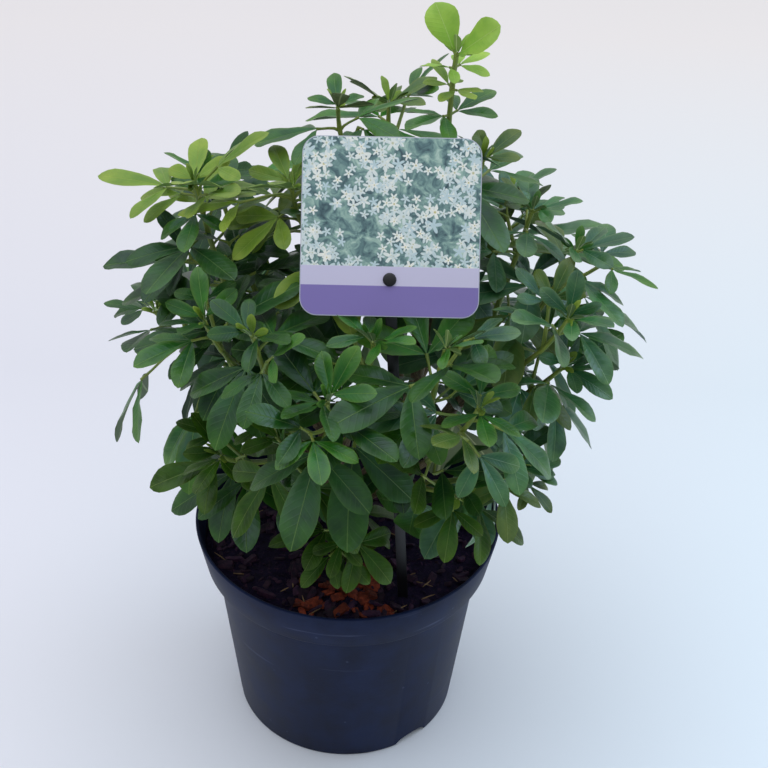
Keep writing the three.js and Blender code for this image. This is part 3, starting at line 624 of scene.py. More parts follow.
def stampedPiece(name, places, template, materials, values, uv=None, sharpAt=50):
    corners, faces, kinds = template
    copies = len(places)
    mesh = bpy.data.meshes.new(name)
    allFaces = [[c + k * len(corners) for c in face] for k in range(copies) for face in faces]
    mesh.from_pydata((places.reshape(-1, 3) * mm).tolist(), [], allFaces)
    mesh.polygons.foreach_set("material_index", np.tile(kinds, copies).astype(np.int32))
    for key, value in values.items():
        kind, field = ("FLOAT_VECTOR", "vector") if value.ndim == 3 else ("FLOAT", "value")
        layer = mesh.attributes.new(name=key, type=kind, domain="POINT")
        layer.data.foreach_set(field, value.astype(np.float32).ravel())
    if uv is not None:
        corner = np.empty(len(mesh.loops), dtype=np.int32)
        mesh.loops.foreach_get("vertex_index", corner)
        layer = mesh.uv_layers.new(name="blade")
        layer.data.foreach_set("uv", uv.reshape(-1, 2)[corner].astype(np.float32).ravel())
    mesh.update()
    return shownPiece(name, mesh, materials, sharpAt)


def tubeTemplate(sides, steps):
    bm = bmesh.new()
    bmesh.ops.create_cone(bm, cap_ends=True, segments=sides, radius1=1, radius2=1, depth=steps)
    upright = [e for e in bm.edges if abs(e.verts[0].co.z - e.verts[1].co.z) > steps / 2]
    bmesh.ops.subdivide_edges(bm, edges=upright, cuts=steps - 1)
    bmesh.ops.translate(bm, verts=bm.verts, vec=(0, 0, steps / 2))
    return templateOf(bm)


def framesAlong(points):  # two cross directions at each point, carried along without twist
    ways = [(b - a).normalized() for a, b in zip(points, points[1:])]
    ways.append(ways[-1])
    across = ways[0].orthogonal().normalized()
    rows = []
    for way in ways:
        across = (across - way * across.dot(way)).normalized()
        rows.append((across.copy(), way.cross(across)))
    return rows


def stampTubes(name, tubes, template, material, relief=None, grainShift=37.0):
    corners = template[0]
    ring = np.round(corners[:, 2]).astype(int)
    angle = np.arctan2(corners[:, 1], corners[:, 0])
    order = np.arange(len(tubes))[:, None]
    centres = np.array([[p[:] for p in tube["points"]] for tube in tubes])
    frames = [framesAlong(tube["points"]) for tube in tubes]
    across, over = (np.array([[f[i][:] for f in rows] for rows in frames])[:, ring] for i in (0, 1))
    radius = np.array([tube["radii"] for tube in tubes])[:, ring]
    partLengths = np.linalg.norm(np.diff(centres, axis=1, prepend=centres[:, :1]), axis=2)
    along = np.cumsum(partLengths, axis=1)[:, ring]
    if relief:
        radius = radius * relief(angle[None], along, order)
    grain = np.stack([np.cos(angle) * radius, np.sin(angle) * radius, along + order * grainShift], axis=2)
    places = centres[:, ring] + across * grain[..., :1] + over * grain[..., 1:2]
    return stampedPiece(name, places, template, [material], {"grain": grain})


# Leaf materials: broadleaf evergreen blades, waxy above and matt below
def bladePlace(tree):  # how far a point is from the midrib, 0.5 at the margin, and from the leaflet's foot
    split = addNode(tree, "SeparateXYZ", links={"Vector": addNode(tree, "UVMap", uv_map="blade")})
    aside = addNode(tree, "Math", {1: 0.5}, {0: split.outputs["X"]}, operation="SUBTRACT")
    return addNode(tree, "Math", links={0: aside}, operation="ABSOLUTE"), split.outputs["Y"]


def bladeMaterial(name, dark, light, margin, rib, roughness, shine=0.5, shineTint="d2e4f4"):
    # A waxy cuticle over green tissue: soft highlights, a pale midrib, faint side veins, paler margins
    material, tree, shader = newMaterial(name)
    fromRib, fromFoot = bladePlace(tree)
    ribLine = addNode(tree, "ValToRGB", links={"Fac": fromRib}, stops=[(0, 1), (0.009, 0.6), (0.02, 0)])
    # Side veins stand about 4.5 mm apart and lean towards the tip
    lean = addNode(tree, "Math", {1: -4}, {0: fromRib}, operation="MULTIPLY")
    steps = addNode(tree, "Math", {1: 11}, {0: fromFoot, 2: lean}, operation="MULTIPLY_ADD")
    vein = addNode(tree, "Math", {1: 0.5}, {0: steps}, operation="PINGPONG")
    veinLine = addNode(tree, "ValToRGB", links={"Fac": vein}, stops=[(0, 1), (0.07, 0.4), (0.2, 0)])
    place = addNode(tree, "TexCoord").outputs["Object"]
    cloud = addNode(tree, "TexNoise", {"Scale": 70, "Detail": 3, "Roughness": 0.55}, {"Vector": place})
    cloudy = addNode(tree, "ValToRGB", links={"Fac": cloud}, stops=[(0.35, 0.2), (0.68, 0.84)])
    ground = addNode(tree, "Mix", {"A": dark, "B": light}, {"Factor": cloudy}, data_type="RGBA")
    tone = addNode(tree, "Attribute", attribute_name="tone").outputs["Fac"]
    value = addNode(tree, "Math", {1: 0.36, 2: 1}, {0: tone}, operation="MULTIPLY_ADD")
    hue = addNode(tree, "Math", {1: -0.014, 2: 0.5}, {0: tone}, operation="MULTIPLY_ADD")
    toned = addNode(tree, "HueSaturation", links={"Hue": hue, "Value": value, "Color": ground})
    # Tissue at the margins is paler, and towards the tip it is older and warmer, in clouds
    edge = addNode(tree, "Attribute", attribute_name="edge").outputs["Fac"]
    edgeTint = addNode(tree, "ValToRGB", links={"Fac": edge}, stops=[(0.5, 0), (0.95, 0.22), (0.99, 0.5)])
    tipTint = addNode(tree, "ValToRGB", links={"Fac": fromFoot}, stops=[(0.45, 0), (0.95, 0.5)])
    warmTip = addNode(tree, "Math", links={0: tipTint, 1: cloudy}, operation="MULTIPLY")
    warmth = addNode(tree, "Math", links={0: edgeTint, 1: warmTip}, operation="MAXIMUM")
    edged = addNode(tree, "Mix", {"B": margin}, {"Factor": warmth, "A": toned}, data_type="RGBA")
    veinShare = addNode(tree, "Math", {1: 0.035}, {0: veinLine}, operation="MULTIPLY")
    veined = addNode(tree, "Mix", {"B": rib}, {"Factor": veinShare, "A": edged}, data_type="RGBA")
    ribShare = addNode(tree, "Math", {1: 0.42}, {0: ribLine}, operation="MULTIPLY")
    ribbed = addNode(tree, "Mix", {"B": rib}, {"Factor": ribShare, "A": veined}, data_type="RGBA")
    wax = addNode(tree, "MapRange", {"To Min": roughness - 0.05, "To Max": roughness + 0.09},
                  {"Value": cloud})
    height = addNode(tree, "Math", {1: -0.35}, {0: veinLine}, operation="MULTIPLY")
    height = addNode(tree, "Math", {1: -0.8}, {0: ribLine, 2: height}, operation="MULTIPLY_ADD")
    bump = addNode(tree, "Bump", {"Strength": 0.5, "Distance": 0.0004}, {"Height": height})
    setNode(shader, {"IOR": 1.46, "Specular IOR Level": shine, "Specular Tint": shineTint},
            {"Base Color": ribbed, "Roughness": wax, "Normal": bump})
    return material


def undersideMaterial(name, colour, rib):
    # The underside has no wax: matt, greyer, with a pale raised midrib
    material, tree, shader = newMaterial(name)
    fromRib, _ = bladePlace(tree)
    ribLine = addNode(tree, "ValToRGB", links={"Fac": fromRib}, stops=[(0, 1), (0.03, 0.8), (0.05, 0)])
    place = addNode(tree, "TexCoord").outputs["Object"]
    cloud = addNode(tree, "TexNoise", {"Scale": 110, "Detail": 3}, {"Vector": place})
    darker = [c * 0.72 for c in linear(colour)[:3]] + [1]
    ground = addNode(tree, "Mix", {"A": darker, "B": colour}, {"Factor": cloud}, data_type="RGBA")
    ribbed = addNode(tree, "Mix", {"B": rib}, {"Factor": ribLine, "A": ground}, data_type="RGBA")
    setNode(shader, {"Roughness": 0.62}, {"Base Color": ribbed})
    return material


def stalkMaterial(name, colour, darker, roughness=0.5):
    # Young green bark, or a dry fibre: smooth, streaked along its length
    material, tree, shader = newMaterial(name)
    grain = addNode(tree, "Attribute", attribute_name="grain").outputs["Vector"]
    drawn = addNode(tree, "Mapping", {"Scale": (1.1, 1.1, 0.08)}, {"Vector": grain})
    streak = addNode(tree, "TexNoise", {"Scale": 1, "Detail": 3}, {"Vector": drawn})
    streaks = addNode(tree, "ValToRGB", links={"Fac": streak}, stops=[(0.35, 0), (0.65, 1)])
    ground = addNode(tree, "Mix", {"A": darker, "B": colour}, {"Factor": streaks}, data_type="RGBA")
    setNode(shader, {"Roughness": roughness}, {"Base Color": ground})
    return material


# Leaves: each of three leaflets, dealt out to pieces by tint
blade = {
    "shares": (0, 0.12, 0.28, 0.44, 0.58, 0.7, 0.8, 0.89, 0.96, 1),
    "reach": (0, 0.27, 0.6, 0.86, 0.98, 1, 0.92, 0.7, 0.38, 0),
    "thickness": 0.42,
    "foot": 0.4,  # where a leaflet starts, past the petiole's end
    "bulge": 0.1,  # of each half of the blade, against half its width
    "ripple": 0.018,  # wave of the margins, against the leaflet's length
    "waves": (1.6, 0.5),  # along a leaflet, and how much that varies
    "phaseVary": 3.1,
    "tipRelief": (4, 0.25),  # how steeply the relief fades before the tip, and what is left there
    "twist": 0.3,  # radians at the tip, at most
    "bend": 0.05,  # sideways, against the length, at most
    "fall": (0.03, 0.05),  # of the tip, more than the plain leaf's, and how much that varies
    "roll": (0.2, 0.16),  # of a side leaflet about its rib, in radians, and how much that varies
    "droopVary": 7, "sizeVary": 0.07, "foldVary": 0.5,
    "leafTone": 0.7, "leafletTone": 0.3,
    "inBox": 0.2,  # how far inside the solids' box the leaflets stay
    "leastSize": 0.3,  # of a leaflet that is drawn in to stay there
}
tints = {tint: bladeMaterial(*row) for tint, row in {
    "deep": ("deep_green_waxy_leaf", "082804", "1c5410", "4f761a", "7ea052", 0.33, 0.58),
    "mid": ("mid_green_waxy_leaf", "164a0d", "33761c", "76942e", "90b45c", 0.33, 0.56),
    "olive": ("olive_green_waxy_leaf", "2a501a", "4f7026", "868a36", "9cb060", 0.35, 0.55),
    "moss": ("moss_green_waxy_leaf", "122d02", "2d5e0a", "5e781e", "8ca456", 0.34, 0.4, "e0ead8"),
    # the blue-green tint goes to leaves at the right: its bluer base colour is painted bluish sheen from the
    # cool light there, besides its real stronger shine
    "blue": ("blue_sheen_painted_waxy_leaf", "174520", "357238", "7a9450", "94b47a", 0.32, 0.7, "cfe4ff"),
    "fresh": ("fresh_green_young_leaf", "557c1c", "7d9e30", "a8b448", "b4c464", 0.44),
    "lime": ("lime_green_young_leaf", "64972a", "8cb83e", "b0c858", "c2da80", 0.45),
}.items()}
under = {tint: undersideMaterial(*row) for tint, row in {
    "deep": ("grey_green_leaf_underside", "5f7d5b", "a9bd93"),
    "mid": ("pale_green_leaf_underside", "6f8d58", "b3c78f"),
    "olive": ("olive_leaf_underside", "76855a", "b5be8c"),
    "moss": ("moss_leaf_underside", "64803c", "a8b878"),
    "blue": ("blue_green_leaf_underside", "6a8a70", "a9c0a0"),
    "fresh": ("fresh_leaf_underside", "7fa256", "bfd08f"),
    "lime": ("lime_leaf_underside", "8fb055", "cadb9a"),
}.items()}


def leafletTemplate():  # four columns above and two below, with the margins shared
    bm = bmesh.new()
    rows = len(blade["shares"]) - 1
    bmesh.ops.create_grid(bm, x_segments=4, y_segments=rows, size=1)
    above = set(bm.verts)
    bmesh.ops.create_grid(bm, x_segments=2, y_segments=rows, size=1)
    lowerFaces = [f for f in bm.faces if f.verts[0] not in above]
    bmesh.ops.reverse_faces(bm, faces=lowerFaces)
    for face in lowerFaces:
        face.material_index = 1
    for v in bm.verts:
        row = round((v.co.y + 1) / 2 * rows)
        atEnd = row in (0, rows)
        atEdge = atEnd or abs(v.co.x) > 0.99
        v.co = (0 if atEnd else v.co.x, blade["shares"][row], 0 if atEdge else (1 if v in above else -1))
    bmesh.ops.remove_doubles(bm, verts=bm.verts, dist=1e-4)
    return templateOf(bm)


def leafletsOf(made, random):
    front = Vector((0, -made["toFront"], 0))
    top = (made["face"] + front - made["way"] * made["way"].dot(front)).normalized()
    axes = (made["way"], top.cross(made["way"]), top)
    centre = made["base"] + made["way"] * made["petiole"]
    leafTone = random()
    rows = []
    for lobe in made["lobes"]:
        hang = math.radians(made["droop"] + random() * blade["droopVary"])
        way, side, face = bent(axes, math.radians(made["spread"]) * lobe, hang)
        roll = Matrix.Rotation(lobe * blade["roll"][0] + random() * blade["roll"][1], 3, way)
        long = made["size"] * made["shorter"] * (leaf["sideShare"] if lobe else 1)
        long *= 1 + random() * blade["sizeVary"]
        rows.append({
            "origin": centre + way * blade["foot"], "way": way, "side": roll @ side, "face": roll @ face,
            "long": long,
            "wide": long * leaf["width"] / 2 * made["breadth"] * (1 + random() * blade["sizeVary"]),
            "fall": made["curl"] + blade["fall"][0] + random() * blade["fall"][1],
            "fold": leaf["fold"] * (1 + random() * blade["foldVary"]),
            "phase": random() * blade["phaseVary"],
            "waves": blade["waves"][0] + random() * blade["waves"][1],
            "twist": random() * blade["twist"],
            "bend": random() * blade["bend"],
            "tone": leafTone * blade["leafTone"] + random() * blade["leafletTone"],
        })
    return rows


def stampLeaflets(name, leaflets, template, materials):
    across, share, layer = template[0].T
    reach = np.interp(share, blade["shares"], blade["reach"])
    vectors = ("origin", "way", "side", "face")
    vector = {key: np.array([row[key][:] for row in leaflets])[:, None] for key in vectors}
    numbers = [key for key in leaflets[0] if key not in vectors]
    number = {key: np.array([row[key] for row in leaflets])[:, None] for key in numbers}
    half, long = number["wide"] * reach, number["long"]
    y = across * half
    dome = 1 - (2 * np.abs(across) - 1) ** 2
    ripple = np.sin(2 * np.pi * number["waves"] * share + number["phase"]) * across ** 2
    z = number["fold"] * np.abs(across) * half + blade["bulge"] * dome * half
    steepness, left = blade["tipRelief"]
    z = (z + long * blade["ripple"] * ripple) * np.minimum(1, (1 - share) * steepness + left)
    z = z + layer * blade["thickness"] / 2
    turn = number["twist"] * share
    y, z = y * np.cos(turn) - z * np.sin(turn), y * np.sin(turn) + z * np.cos(turn)
    y = y + number["bend"] * long * share ** 2
    z = z - number["fall"] * long * share ** 2
    x = long * share
    out = vector["way"] * x[..., None] + vector["side"] * y[..., None] + vector["face"] * z[..., None]
    # A leaflet that would leave the solids' box is drawn in towards its own foot
    origin = vector["origin"]
    room = np.where(out > 0, np.array(boxHigh) - origin, origin - np.array(boxLow)) - blade["inBox"]
    drawnIn = np.clip(room / np.maximum(np.abs(out), 0.01), blade["leastSize"], 1)
    drawnIn = drawnIn.min(axis=(1, 2), keepdims=True)
    size = (len(leaflets), len(share))
    values = {"edge": np.broadcast_to(np.abs(across) * np.where(share < 0.02, 0, 1), size),
              "tone": np.broadcast_to(number["tone"], size)}
    flat = np.broadcast_to(np.stack([0.5 + 0.5 * across * reach, share], axis=1), (*size, 2))
    return stampedPiece(name, origin + out * drawnIn, template, materials, values, flat)


# Where the leaf colours change, and above which chance, from -1 to 1, a leaf takes the colour named
dealing = {"mossRight": 65, "mossLow": 300, "moss": -0.75,
           "right": 55, "rightOlive": 0.6, "rightMid": 0.35,
           "high": 350, "highOlive": 0,
           "outerMid": -0.2, "innerMid": 0.66, "budFresh": 0}


def tintOf(spray, made, random):
    pair, foot, kind = made["pair"], made["base"], spray["shoot"]["kind"]
    right, front, height = spray["shoot"]["tip"]
    chance = random()
    if kind == "leader":
        return {0: "lime", 1: "lime", 2: "fresh", 3: "mid", budOrder: "lime"}.get(pair, "deep")
    if kind == "fan":
        if pair in (0, 1, budOrder) or spray["name"] == "upper_left" and pair < 4:
            return "fresh"
        return "mid" if pair == 2 else "deep"
    if pair == budOrder:
        return "fresh" if chance > dealing["budFresh"] else "mid"
    if front < 0 and height < dealing["mossLow"] and right < dealing["mossRight"]:
        return "moss" if chance > dealing["moss"] else "deep"
    # Most leaves at the right take the blue-green tint, whose bluer base is painted sheen from the cool light
    # at the right
    if foot.x > dealing["right"]:
        if chance > dealing["rightOlive"]:
            return "olive"
        return "mid" if chance > dealing["rightMid"] else "blue"
    if foot.z > dealing["high"]:
        return "olive" if chance > dealing["highOlive"] else "mid"
    outer = pair in (0, sideTwigOrder, fineTwigOrder)
    return "mid" if chance > dealing["outerMid" if outer else "innerMid"] else "deep"


petiole = {"startOut": 0.4, "follow": 0.4, "knee": 0.35, "kneeRise": 0.05, "handle": 0.3, "sunk": 0.8,
           "radius": 0.55, "radiusBySize": 0.4 / 53, "swell": (1.35, 1, 0.9, 0.85, 1.1)}


def thinTube(line, thick, swell):  # in four parts
    return {"points": [line.bezier(k / 4) for k in range(5)], "radii": [thick * s for s in swell]}


def petioleOf(made):
    way, length = made["way"], made["petiole"]
    start = made["base"] + way * petiole["startOut"]
    kneeWay = way * (1 - petiole["follow"]) + made["stemWay"] * petiole["follow"]
    knee = start + kneeWay * length * petiole["knee"] + up * length * petiole["kneeRise"]
    end = made["base"] + way * (length + petiole["sunk"])
    line = Line(start, knee, end - way * length * petiole["handle"], end)
    thick = petiole["radius"] + made["size"] * petiole["radiusBySize"]
    return thinTube(line, thick, petiole["swell"])


looks = spreadFrom(seed * 1000)
leaflets = {tint: [] for tint in tints}
for spray in sprays:
    for made in spray["grown"]:
        leaflets[tintOf(spray, made, looks)] += leafletsOf(made, looks)
replaced = {"deep": ["foliage_" + name for name, shoot in shoots.items() if shoot["kind"] == "mature"],
            "lime": ["foliage_" + name for name, shoot in shoots.items() if shoot["kind"] != "mature"]}
leafletShape = leafletTemplate()
for tint, rows in leaflets.items():
    placePiece(stampLeaflets("leaves_" + tint, rows, leafletShape, [tints[tint], under[tint]]),
               "leaf_young" if tint in ("lime", "fresh") else "leaf_mature", *replaced.get(tint, []))
print("leaves:", {tint: len(rows) for tint, rows in leaflets.items()}, "leaflets")

# Green stems, twigs and petioles
greenStem = stalkMaterial("green_young_stem", "8a9a3e", "5f7a34")
shootStem = {"steps": 16, "inBough": 0.02, "tipRadius": 1.15, "more": 0.85, "joint": 0.22, "jointLength": 1.8}
greenTwig = {"radius": 1.2, "thinRadius": 0.85, "sag": 0.06, "swell": (1.3, 1.1, 1, 0.9, 0.9)}


def stemTube(shoot):  # it swells at each leaf joint
    line, entry, steps = shoot["line"], shoot["entry"] - shootStem["inBough"], shootStem["steps"]
    points, radii = [], []
    for k in range(steps + 1):
        points.append(line.at(entry + (1 - entry) * k / steps))
        back = (1 - k / steps) * (1 - entry) * line.length
        fromJoint = min(abs(back - rule["back"]) for rule in keptPairs(shoot))
        joint = math.exp(-(fromJoint / shootStem["jointLength"]) ** 2)
        thick = shootStem["tipRadius"] + shootStem["more"] * (1 - k / steps)
        radii.append(thick * (1 + shootStem["joint"] * joint))
    return {"points": points, "radii": radii}


def twigTube(made):
    base, tip = made["base"], made["tip"]
    line = Line(base, base.lerp(tip, 0.5) - up * greenTwig["sag"] * (tip - base).length, tip)
    thick = greenTwig["thinRadius"] if made.get("thin") else greenTwig["radius"]
    return thinTube(line, thick, greenTwig["swell"])


stems = [stemTube(spray["shoot"]) for spray in sprays]
petioles = [petioleOf(made) for spray in sprays for made in spray["grown"]]
twigs = [twigTube(made) for spray in sprays for made in spray["grownTwigs"]]
placePiece(stampTubes("green_stems", stems, tubeTemplate(10, shootStem["steps"]), greenStem), "young_bark")
placePiece(stampTubes("petioles", petioles + twigs, tubeTemplate(6, 4), greenStem), "young_bark")
print("stems:", len(stems), "shoots,", len(twigs), "twigs,", len(petioles), "petioles")

# Bark: trunk and boughs with ridges, node rings and a swollen foot at each fork
barkRelief = {
    "ridges": 0.05,
    "coarse": (5, 0.6), "fine": (8, 0.4),  # how many ridges run round a stem, and their share
    "wander": (0.11, 0.6),  # how fast and how far the ridges turn along it
    "rings": 0.05, "ringEvery": 16, "ringWidth": 1.3, "ringShift": 3.7,
    "steps": 24, "footSwell": 1.1, "footSteps": 4, "trunkShare": 0.97,
}


def barkMaterial():
    # Thin smooth bark of a young shrub: olive brown, with pale lengthwise cracks and small pores
    material, tree, shader = newMaterial("thin_brown_bark")
    grain = addNode(tree, "Attribute", attribute_name="grain").outputs["Vector"]
    drawn = addNode(tree, "Mapping", {"Scale": (0.9, 0.9, 0.12)}, {"Vector": grain})
    crack = addNode(tree, "TexNoise", {"Scale": 1, "Detail": 5, "Roughness": 0.65}, {"Vector": drawn})
    cracks = addNode(tree, "ValToRGB", links={"Fac": crack}, stops=[(0.35, 0), (0.62, 1)])
    ground = addNode(tree, "Mix", {"A": "3f3322", "B": "76684a"}, {"Factor": cracks}, data_type="RGBA")
    pore = addNode(tree, "TexVoronoi", {"Scale": 0.45}, {"Vector": grain})
    pores = addNode(tree, "ValToRGB", links={"Fac": pore}, stops=[(0.08, 1), (0.2, 0)])
    poreShare = addNode(tree, "Math", {1: 0.5}, {0: pores}, operation="MULTIPLY")
    dotted = addNode(tree, "Mix", {"B": "a39372"}, {"Factor": poreShare, "A": ground}, data_type="RGBA")
    bump = addNode(tree, "Bump", {"Strength": 0.6, "Distance": 0.0006}, {"Height": crack})
    setNode(shader, {"Roughness": 0.78}, {"Base Color": dotted, "Normal": bump})
    return material


def barkRidges(angle, along, index):
    (coarse, coarseShare), (fine, fineShare) = barkRelief["coarse"], barkRelief["fine"]
    rate, amount = barkRelief["wander"]
    wander = np.sin(along * rate + index) * amount
    ridges = np.sin(angle * coarse + wander) * coarseShare + np.sin(angle * fine - wander * 2 + 1) * fineShare
    every = barkRelief["ringEvery"]
    fromRing = np.mod(along + index * barkRelief["ringShift"], every) - every / 2
    rings = np.exp(-(fromRing / barkRelief["ringWidth"]) ** 2)
    return 1 + barkRelief["ridges"] * ridges + barkRelief["rings"] * rings


def boughTube(shoot):
    foot, steps = bough["sideFootRadius" if "parent" in shoot else "footRadius"], barkRelief["steps"]
    points = [shoot["line"].at(shoot["entry"] * k / steps) for k in range(steps + 1)]
    swell = [barkRelief["footSwell"] * max(0, 1 - k / barkRelief["footSteps"]) ** 2 for k in range(steps + 1)]
    radii = [foot + (bough["tipRadius"] - foot) * k / steps + swell[k] for k in range(steps + 1)]
    return {"points": points, "radii": radii}


bark = barkMaterial()
boughTubes = [boughTube(shoot) for shoot in shoots.values()]
placePiece(stampTubes("boughs", boughTubes, tubeTemplate(16, barkRelief["steps"]), bark, barkRidges),
           "bark", *["bough_" + name for name in shoots])
trunkShares = [k / barkRelief["steps"] for k in range(barkRelief["steps"] + 1)]
trunkTube = {"points": [trunkLine.at(share) for share in trunkShares],
             "radii": [trunkRadius(share) * barkRelief["trunkShare"] for share in trunkShares]}
placePiece(stampTubes("trunk_bark", [trunkTube], tubeTemplate(28, barkRelief["steps"]), bark, barkRidges),
           "bark", "trunk")
print("bark: trunk and", len(boughTubes), "boughs")

# Pot: a lathe of the wall's section, with rounded edges, foot notches and drain holes
pot = {
    "steps": 144,
    # radius, height and rounding, from the underside's middle up the outside and down the inside
    "section": ((0, 0, 0), (70.8, 0, 1.4), (83.6, 117.5, 1.2), (89.6, 117.5, 1.8), (95, 145, 0.9),
                (93.2, 145, 0.5), (92.6, 143.8, 0), (87.2, 119.3, 1.2), (81.8, 115.7, 1.2),
                (69, 2.6, 1), (0, 2.6, 0)),
    "notches": 3, "notchSize": (9, 12, 6.5), "notchAngle": -51, "notchRing": 70.8,
    "holes": 4, "holeSize": (5, 5, 6), "holeRing": 42,
    "sharpAt": 38,
}


def bevelled(bm, edges, offset, segments):
    bmesh.ops.bevel(bm, geom=edges, offset=offset, segments=segments, affect="EDGES", profile=0.5,
                    material=-1)


def lathe(section, steps):  # a closed body turned from (radius, height, rounding) rows, in millimetres
    bm = bmesh.new()
    corners = [bm.verts.new((r, 0, z)) for r, z, _ in section]
    sides = [bm.edges.new(pair) for pair in zip(corners, corners[1:])]
    bmesh.ops.spin(bm, geom=corners + sides, cent=(0, 0, 0), axis=(0, 0, 1), angle=math.tau,
                   steps=steps, use_merge=True)
    bmesh.ops.remove_doubles(bm, verts=bm.verts, dist=1e-3)
    bmesh.ops.recalc_face_normals(bm, faces=bm.faces)
    for r, z, rounding in section:
        if rounding:
            ring = [e for e in bm.edges if all(abs(v.co.z - z) < 1e-3 and
                                               abs(math.hypot(v.co.x, v.co.y) - r) < 1e-2 for v in e.verts)]
            bevelled(bm, ring, rounding, 3)
    return bm


def cutBy(piece, cutters):  # cuts each closed mesh away from the piece
    for cutter in cutters:
        modifier = piece.modifiers.new("cut", "BOOLEAN")
        modifier.operation = "DIFFERENCE"
        modifier.object = cutter
    evaluated = piece.evaluated_get(bpy.context.evaluated_depsgraph_get())
    mesh = bpy.data.meshes.new_from_object(evaluated)
    piece.modifiers.clear()
    piece.data = mesh
    for cutter in cutters:
        bpy.data.objects.remove(cutter)
    mesh.shade_smooth()
    mesh.set_sharp_from_angle(angle=math.radians(pot["sharpAt"]))


def potMaterial():
    # Recycled black polypropylene, injection moulded: a dull blue-black skin with a soft sheen,
    # fine flow mottling, and faint pale scuffs that run round the wall
    material, tree, shader = newMaterial("moulded_black_polypropylene")
    place = addNode(tree, "TexCoord").outputs["Object"]
    mottle = addNode(tree, "TexNoise", {"Scale": 38, "Detail": 5, "Roughness": 0.6}, {"Vector": place})
    mottled = addNode(tree, "ValToRGB", links={"Fac": mottle}, stops=[(0.36, 0), (0.64, 1)])
    skin = addNode(tree, "Mix", {"A": "0c142b", "B": "182341"}, {"Factor": mottled}, data_type="RGBA")
    drawn = addNode(tree, "Mapping", {"Scale": (14, 14, 210)}, {"Vector": place})
    scuff = addNode(tree, "TexNoise", {"Scale": 1, "Detail": 4, "Roughness": 0.5, "Distortion": 0.5},
                    {"Vector": drawn})
    scuffs = addNode(tree, "ValToRGB", links={"Fac": scuff}, stops=[(0.66, 0), (0.8, 0.6)])
    dust = addNode(tree, "TexVoronoi", {"Scale": 85}, {"Vector": place})
    specks = addNode(tree, "ValToRGB", links={"Fac": dust}, stops=[(0.05, 0.25), (0.085, 0)])
    worn = addNode(tree, "Math", links={0: scuffs, 1: specks}, operation="MAXIMUM")
    coloured = addNode(tree, "Mix", {"B": "5d6684"}, {"Factor": worn, "A": skin}, data_type="RGBA")
    rough = addNode(tree, "MapRange", {"To Min": 0.4, "To Max": 0.58}, {"Value": mottle})
    grit = addNode(tree, "TexNoise", {"Scale": 900, "Detail": 2}, {"Vector": place})
    bump = addNode(tree, "Bump", {"Strength": 0.12, "Distance": 0.0003}, {"Height": grit})
    setNode(shader, {"IOR": 1.49, "Specular IOR Level": 0.17, "Specular Tint": "b0beea"},
            {"Base Color": coloured, "Roughness": rough, "Normal": bump})
    return material


def footCutters(name, count, firstAngle, radius, size, segments, turned=Matrix()):  # evenly round the foot
    made = []
    for k in range(count):
        turn = Matrix.Rotation(math.radians(firstAngle + 360 / count * k), 4, "Z")
        bm = bmesh.new()
        place = turn @ Matrix.Translation((radius, 0, 0)) @ Matrix.Diagonal((*size, 1)) @ turned
        bmesh.ops.create_cone(bm, cap_ends=True, segments=segments, radius1=1, radius2=1, depth=2,
                              matrix=place)
        made.append(newPiece(name, bm, []))
    return made


potPiece = newPiece("nursery_pot", lathe(pot["section"], pot["steps"]), [potMaterial()])
notches = footCutters("notch", pot["notches"], pot["notchAngle"], pot["notchRing"], pot["notchSize"], 40,
                      Matrix.Rotation(math.pi / 2, 4, "Y"))
holes = footCutters("hole", pot["holes"], 0, pot["holeRing"], pot["holeSize"], 32)
cutBy(potPiece, notches + holes)
placePiece(potPiece, "pot_plastic", "pot")
print("pot:", len(potPiece.data.polygons), "faces")

# Potting mix: dark peat with bark chips, crumbs and pale fibres on it
mix = {
    "radius": 89.6, "rings": 30, "steps": 110,
    "dome": ((0, 0.44, 0.66, 0.86, 1), (0, 0, 0.6, 1.5, 2.5)),  # shares of the radius, and how far it falls
    "under": ((0, 3.4, 0), (68, 3.4, 0), (81, 116.2, 0), (86.3, 119.9, 0), (89.3, 128, 0)),
    "bump": 1.5, "bumpLength": 11, "bumpSlice": 3, "flatMiddle": 12, "below": 0.6,
    "closeBump": (3.1, 0.5),  # how much closer the finer bumps lie, and their share
    "clearOfTrunk": 14, "clearOfStick": 5,
    "redPatch": (2, -66, 30),  # where most of the red chips lie: its middle and its radius
    "fibres": 36, "fibreLength": (9, 6), "fibreRadii": (0.2, 0.36, 0.4, 0.34, 0.15), "fibreReach": (86, 87),
    "fibreRise": 1.5,
}


def mixHeight(x, y):
    out = math.hypot(x, y)
    place = Vector((x, y, mix["bumpSlice"])) / mix["bumpLength"]
    closer, share = mix["closeBump"]
    rough = noise.noise(place) * mix["bump"] + noise.noise(place * closer) * mix["bump"] * share
    rough *= min(1, max(0, (out - mix["flatMiddle"]) / mix["flatMiddle"]))
    return mixTop - float(np.interp(out / mix["radius"], *mix["dome"])) + rough - mix["below"]


def mixBody():
    top = [(mix["radius"] * (1 - k / mix["rings"]), mixTop, 0) for k in range(mix["rings"] + 1)]
    bm = lathe([*mix["under"], *top], mix["steps"])
    for v in bm.verts:
        if v.co.z > mixTop - 1:
            v.co.z = mixHeight(v.co.x, v.co.y)
    return bm


def mixMaterial():
    # Damp peat and fine bark: nearly black, matt, with brown fibres and a few lighter grains
    material, tree, shader = newMaterial("damp_peat_and_bark_mix")
    place = addNode(tree, "TexCoord").outputs["Object"]
    lump = addNode(tree, "TexNoise", {"Scale": 260, "Detail": 7, "Roughness": 0.72}, {"Vector": place})
    ground = addNode(tree, "ValToRGB", links={"Fac": lump},
                     stops=[(0.32, "050214"), (0.55, "140a2a"), (0.78, "432a3c")])
    bump = addNode(tree, "Bump", {"Strength": 1, "Distance": 0.0025}, {"Height": lump})
    setNode(shader, {"Roughness": 0.9, "Specular IOR Level": 0.2}, {"Base Color": ground, "Normal": bump})
    return material


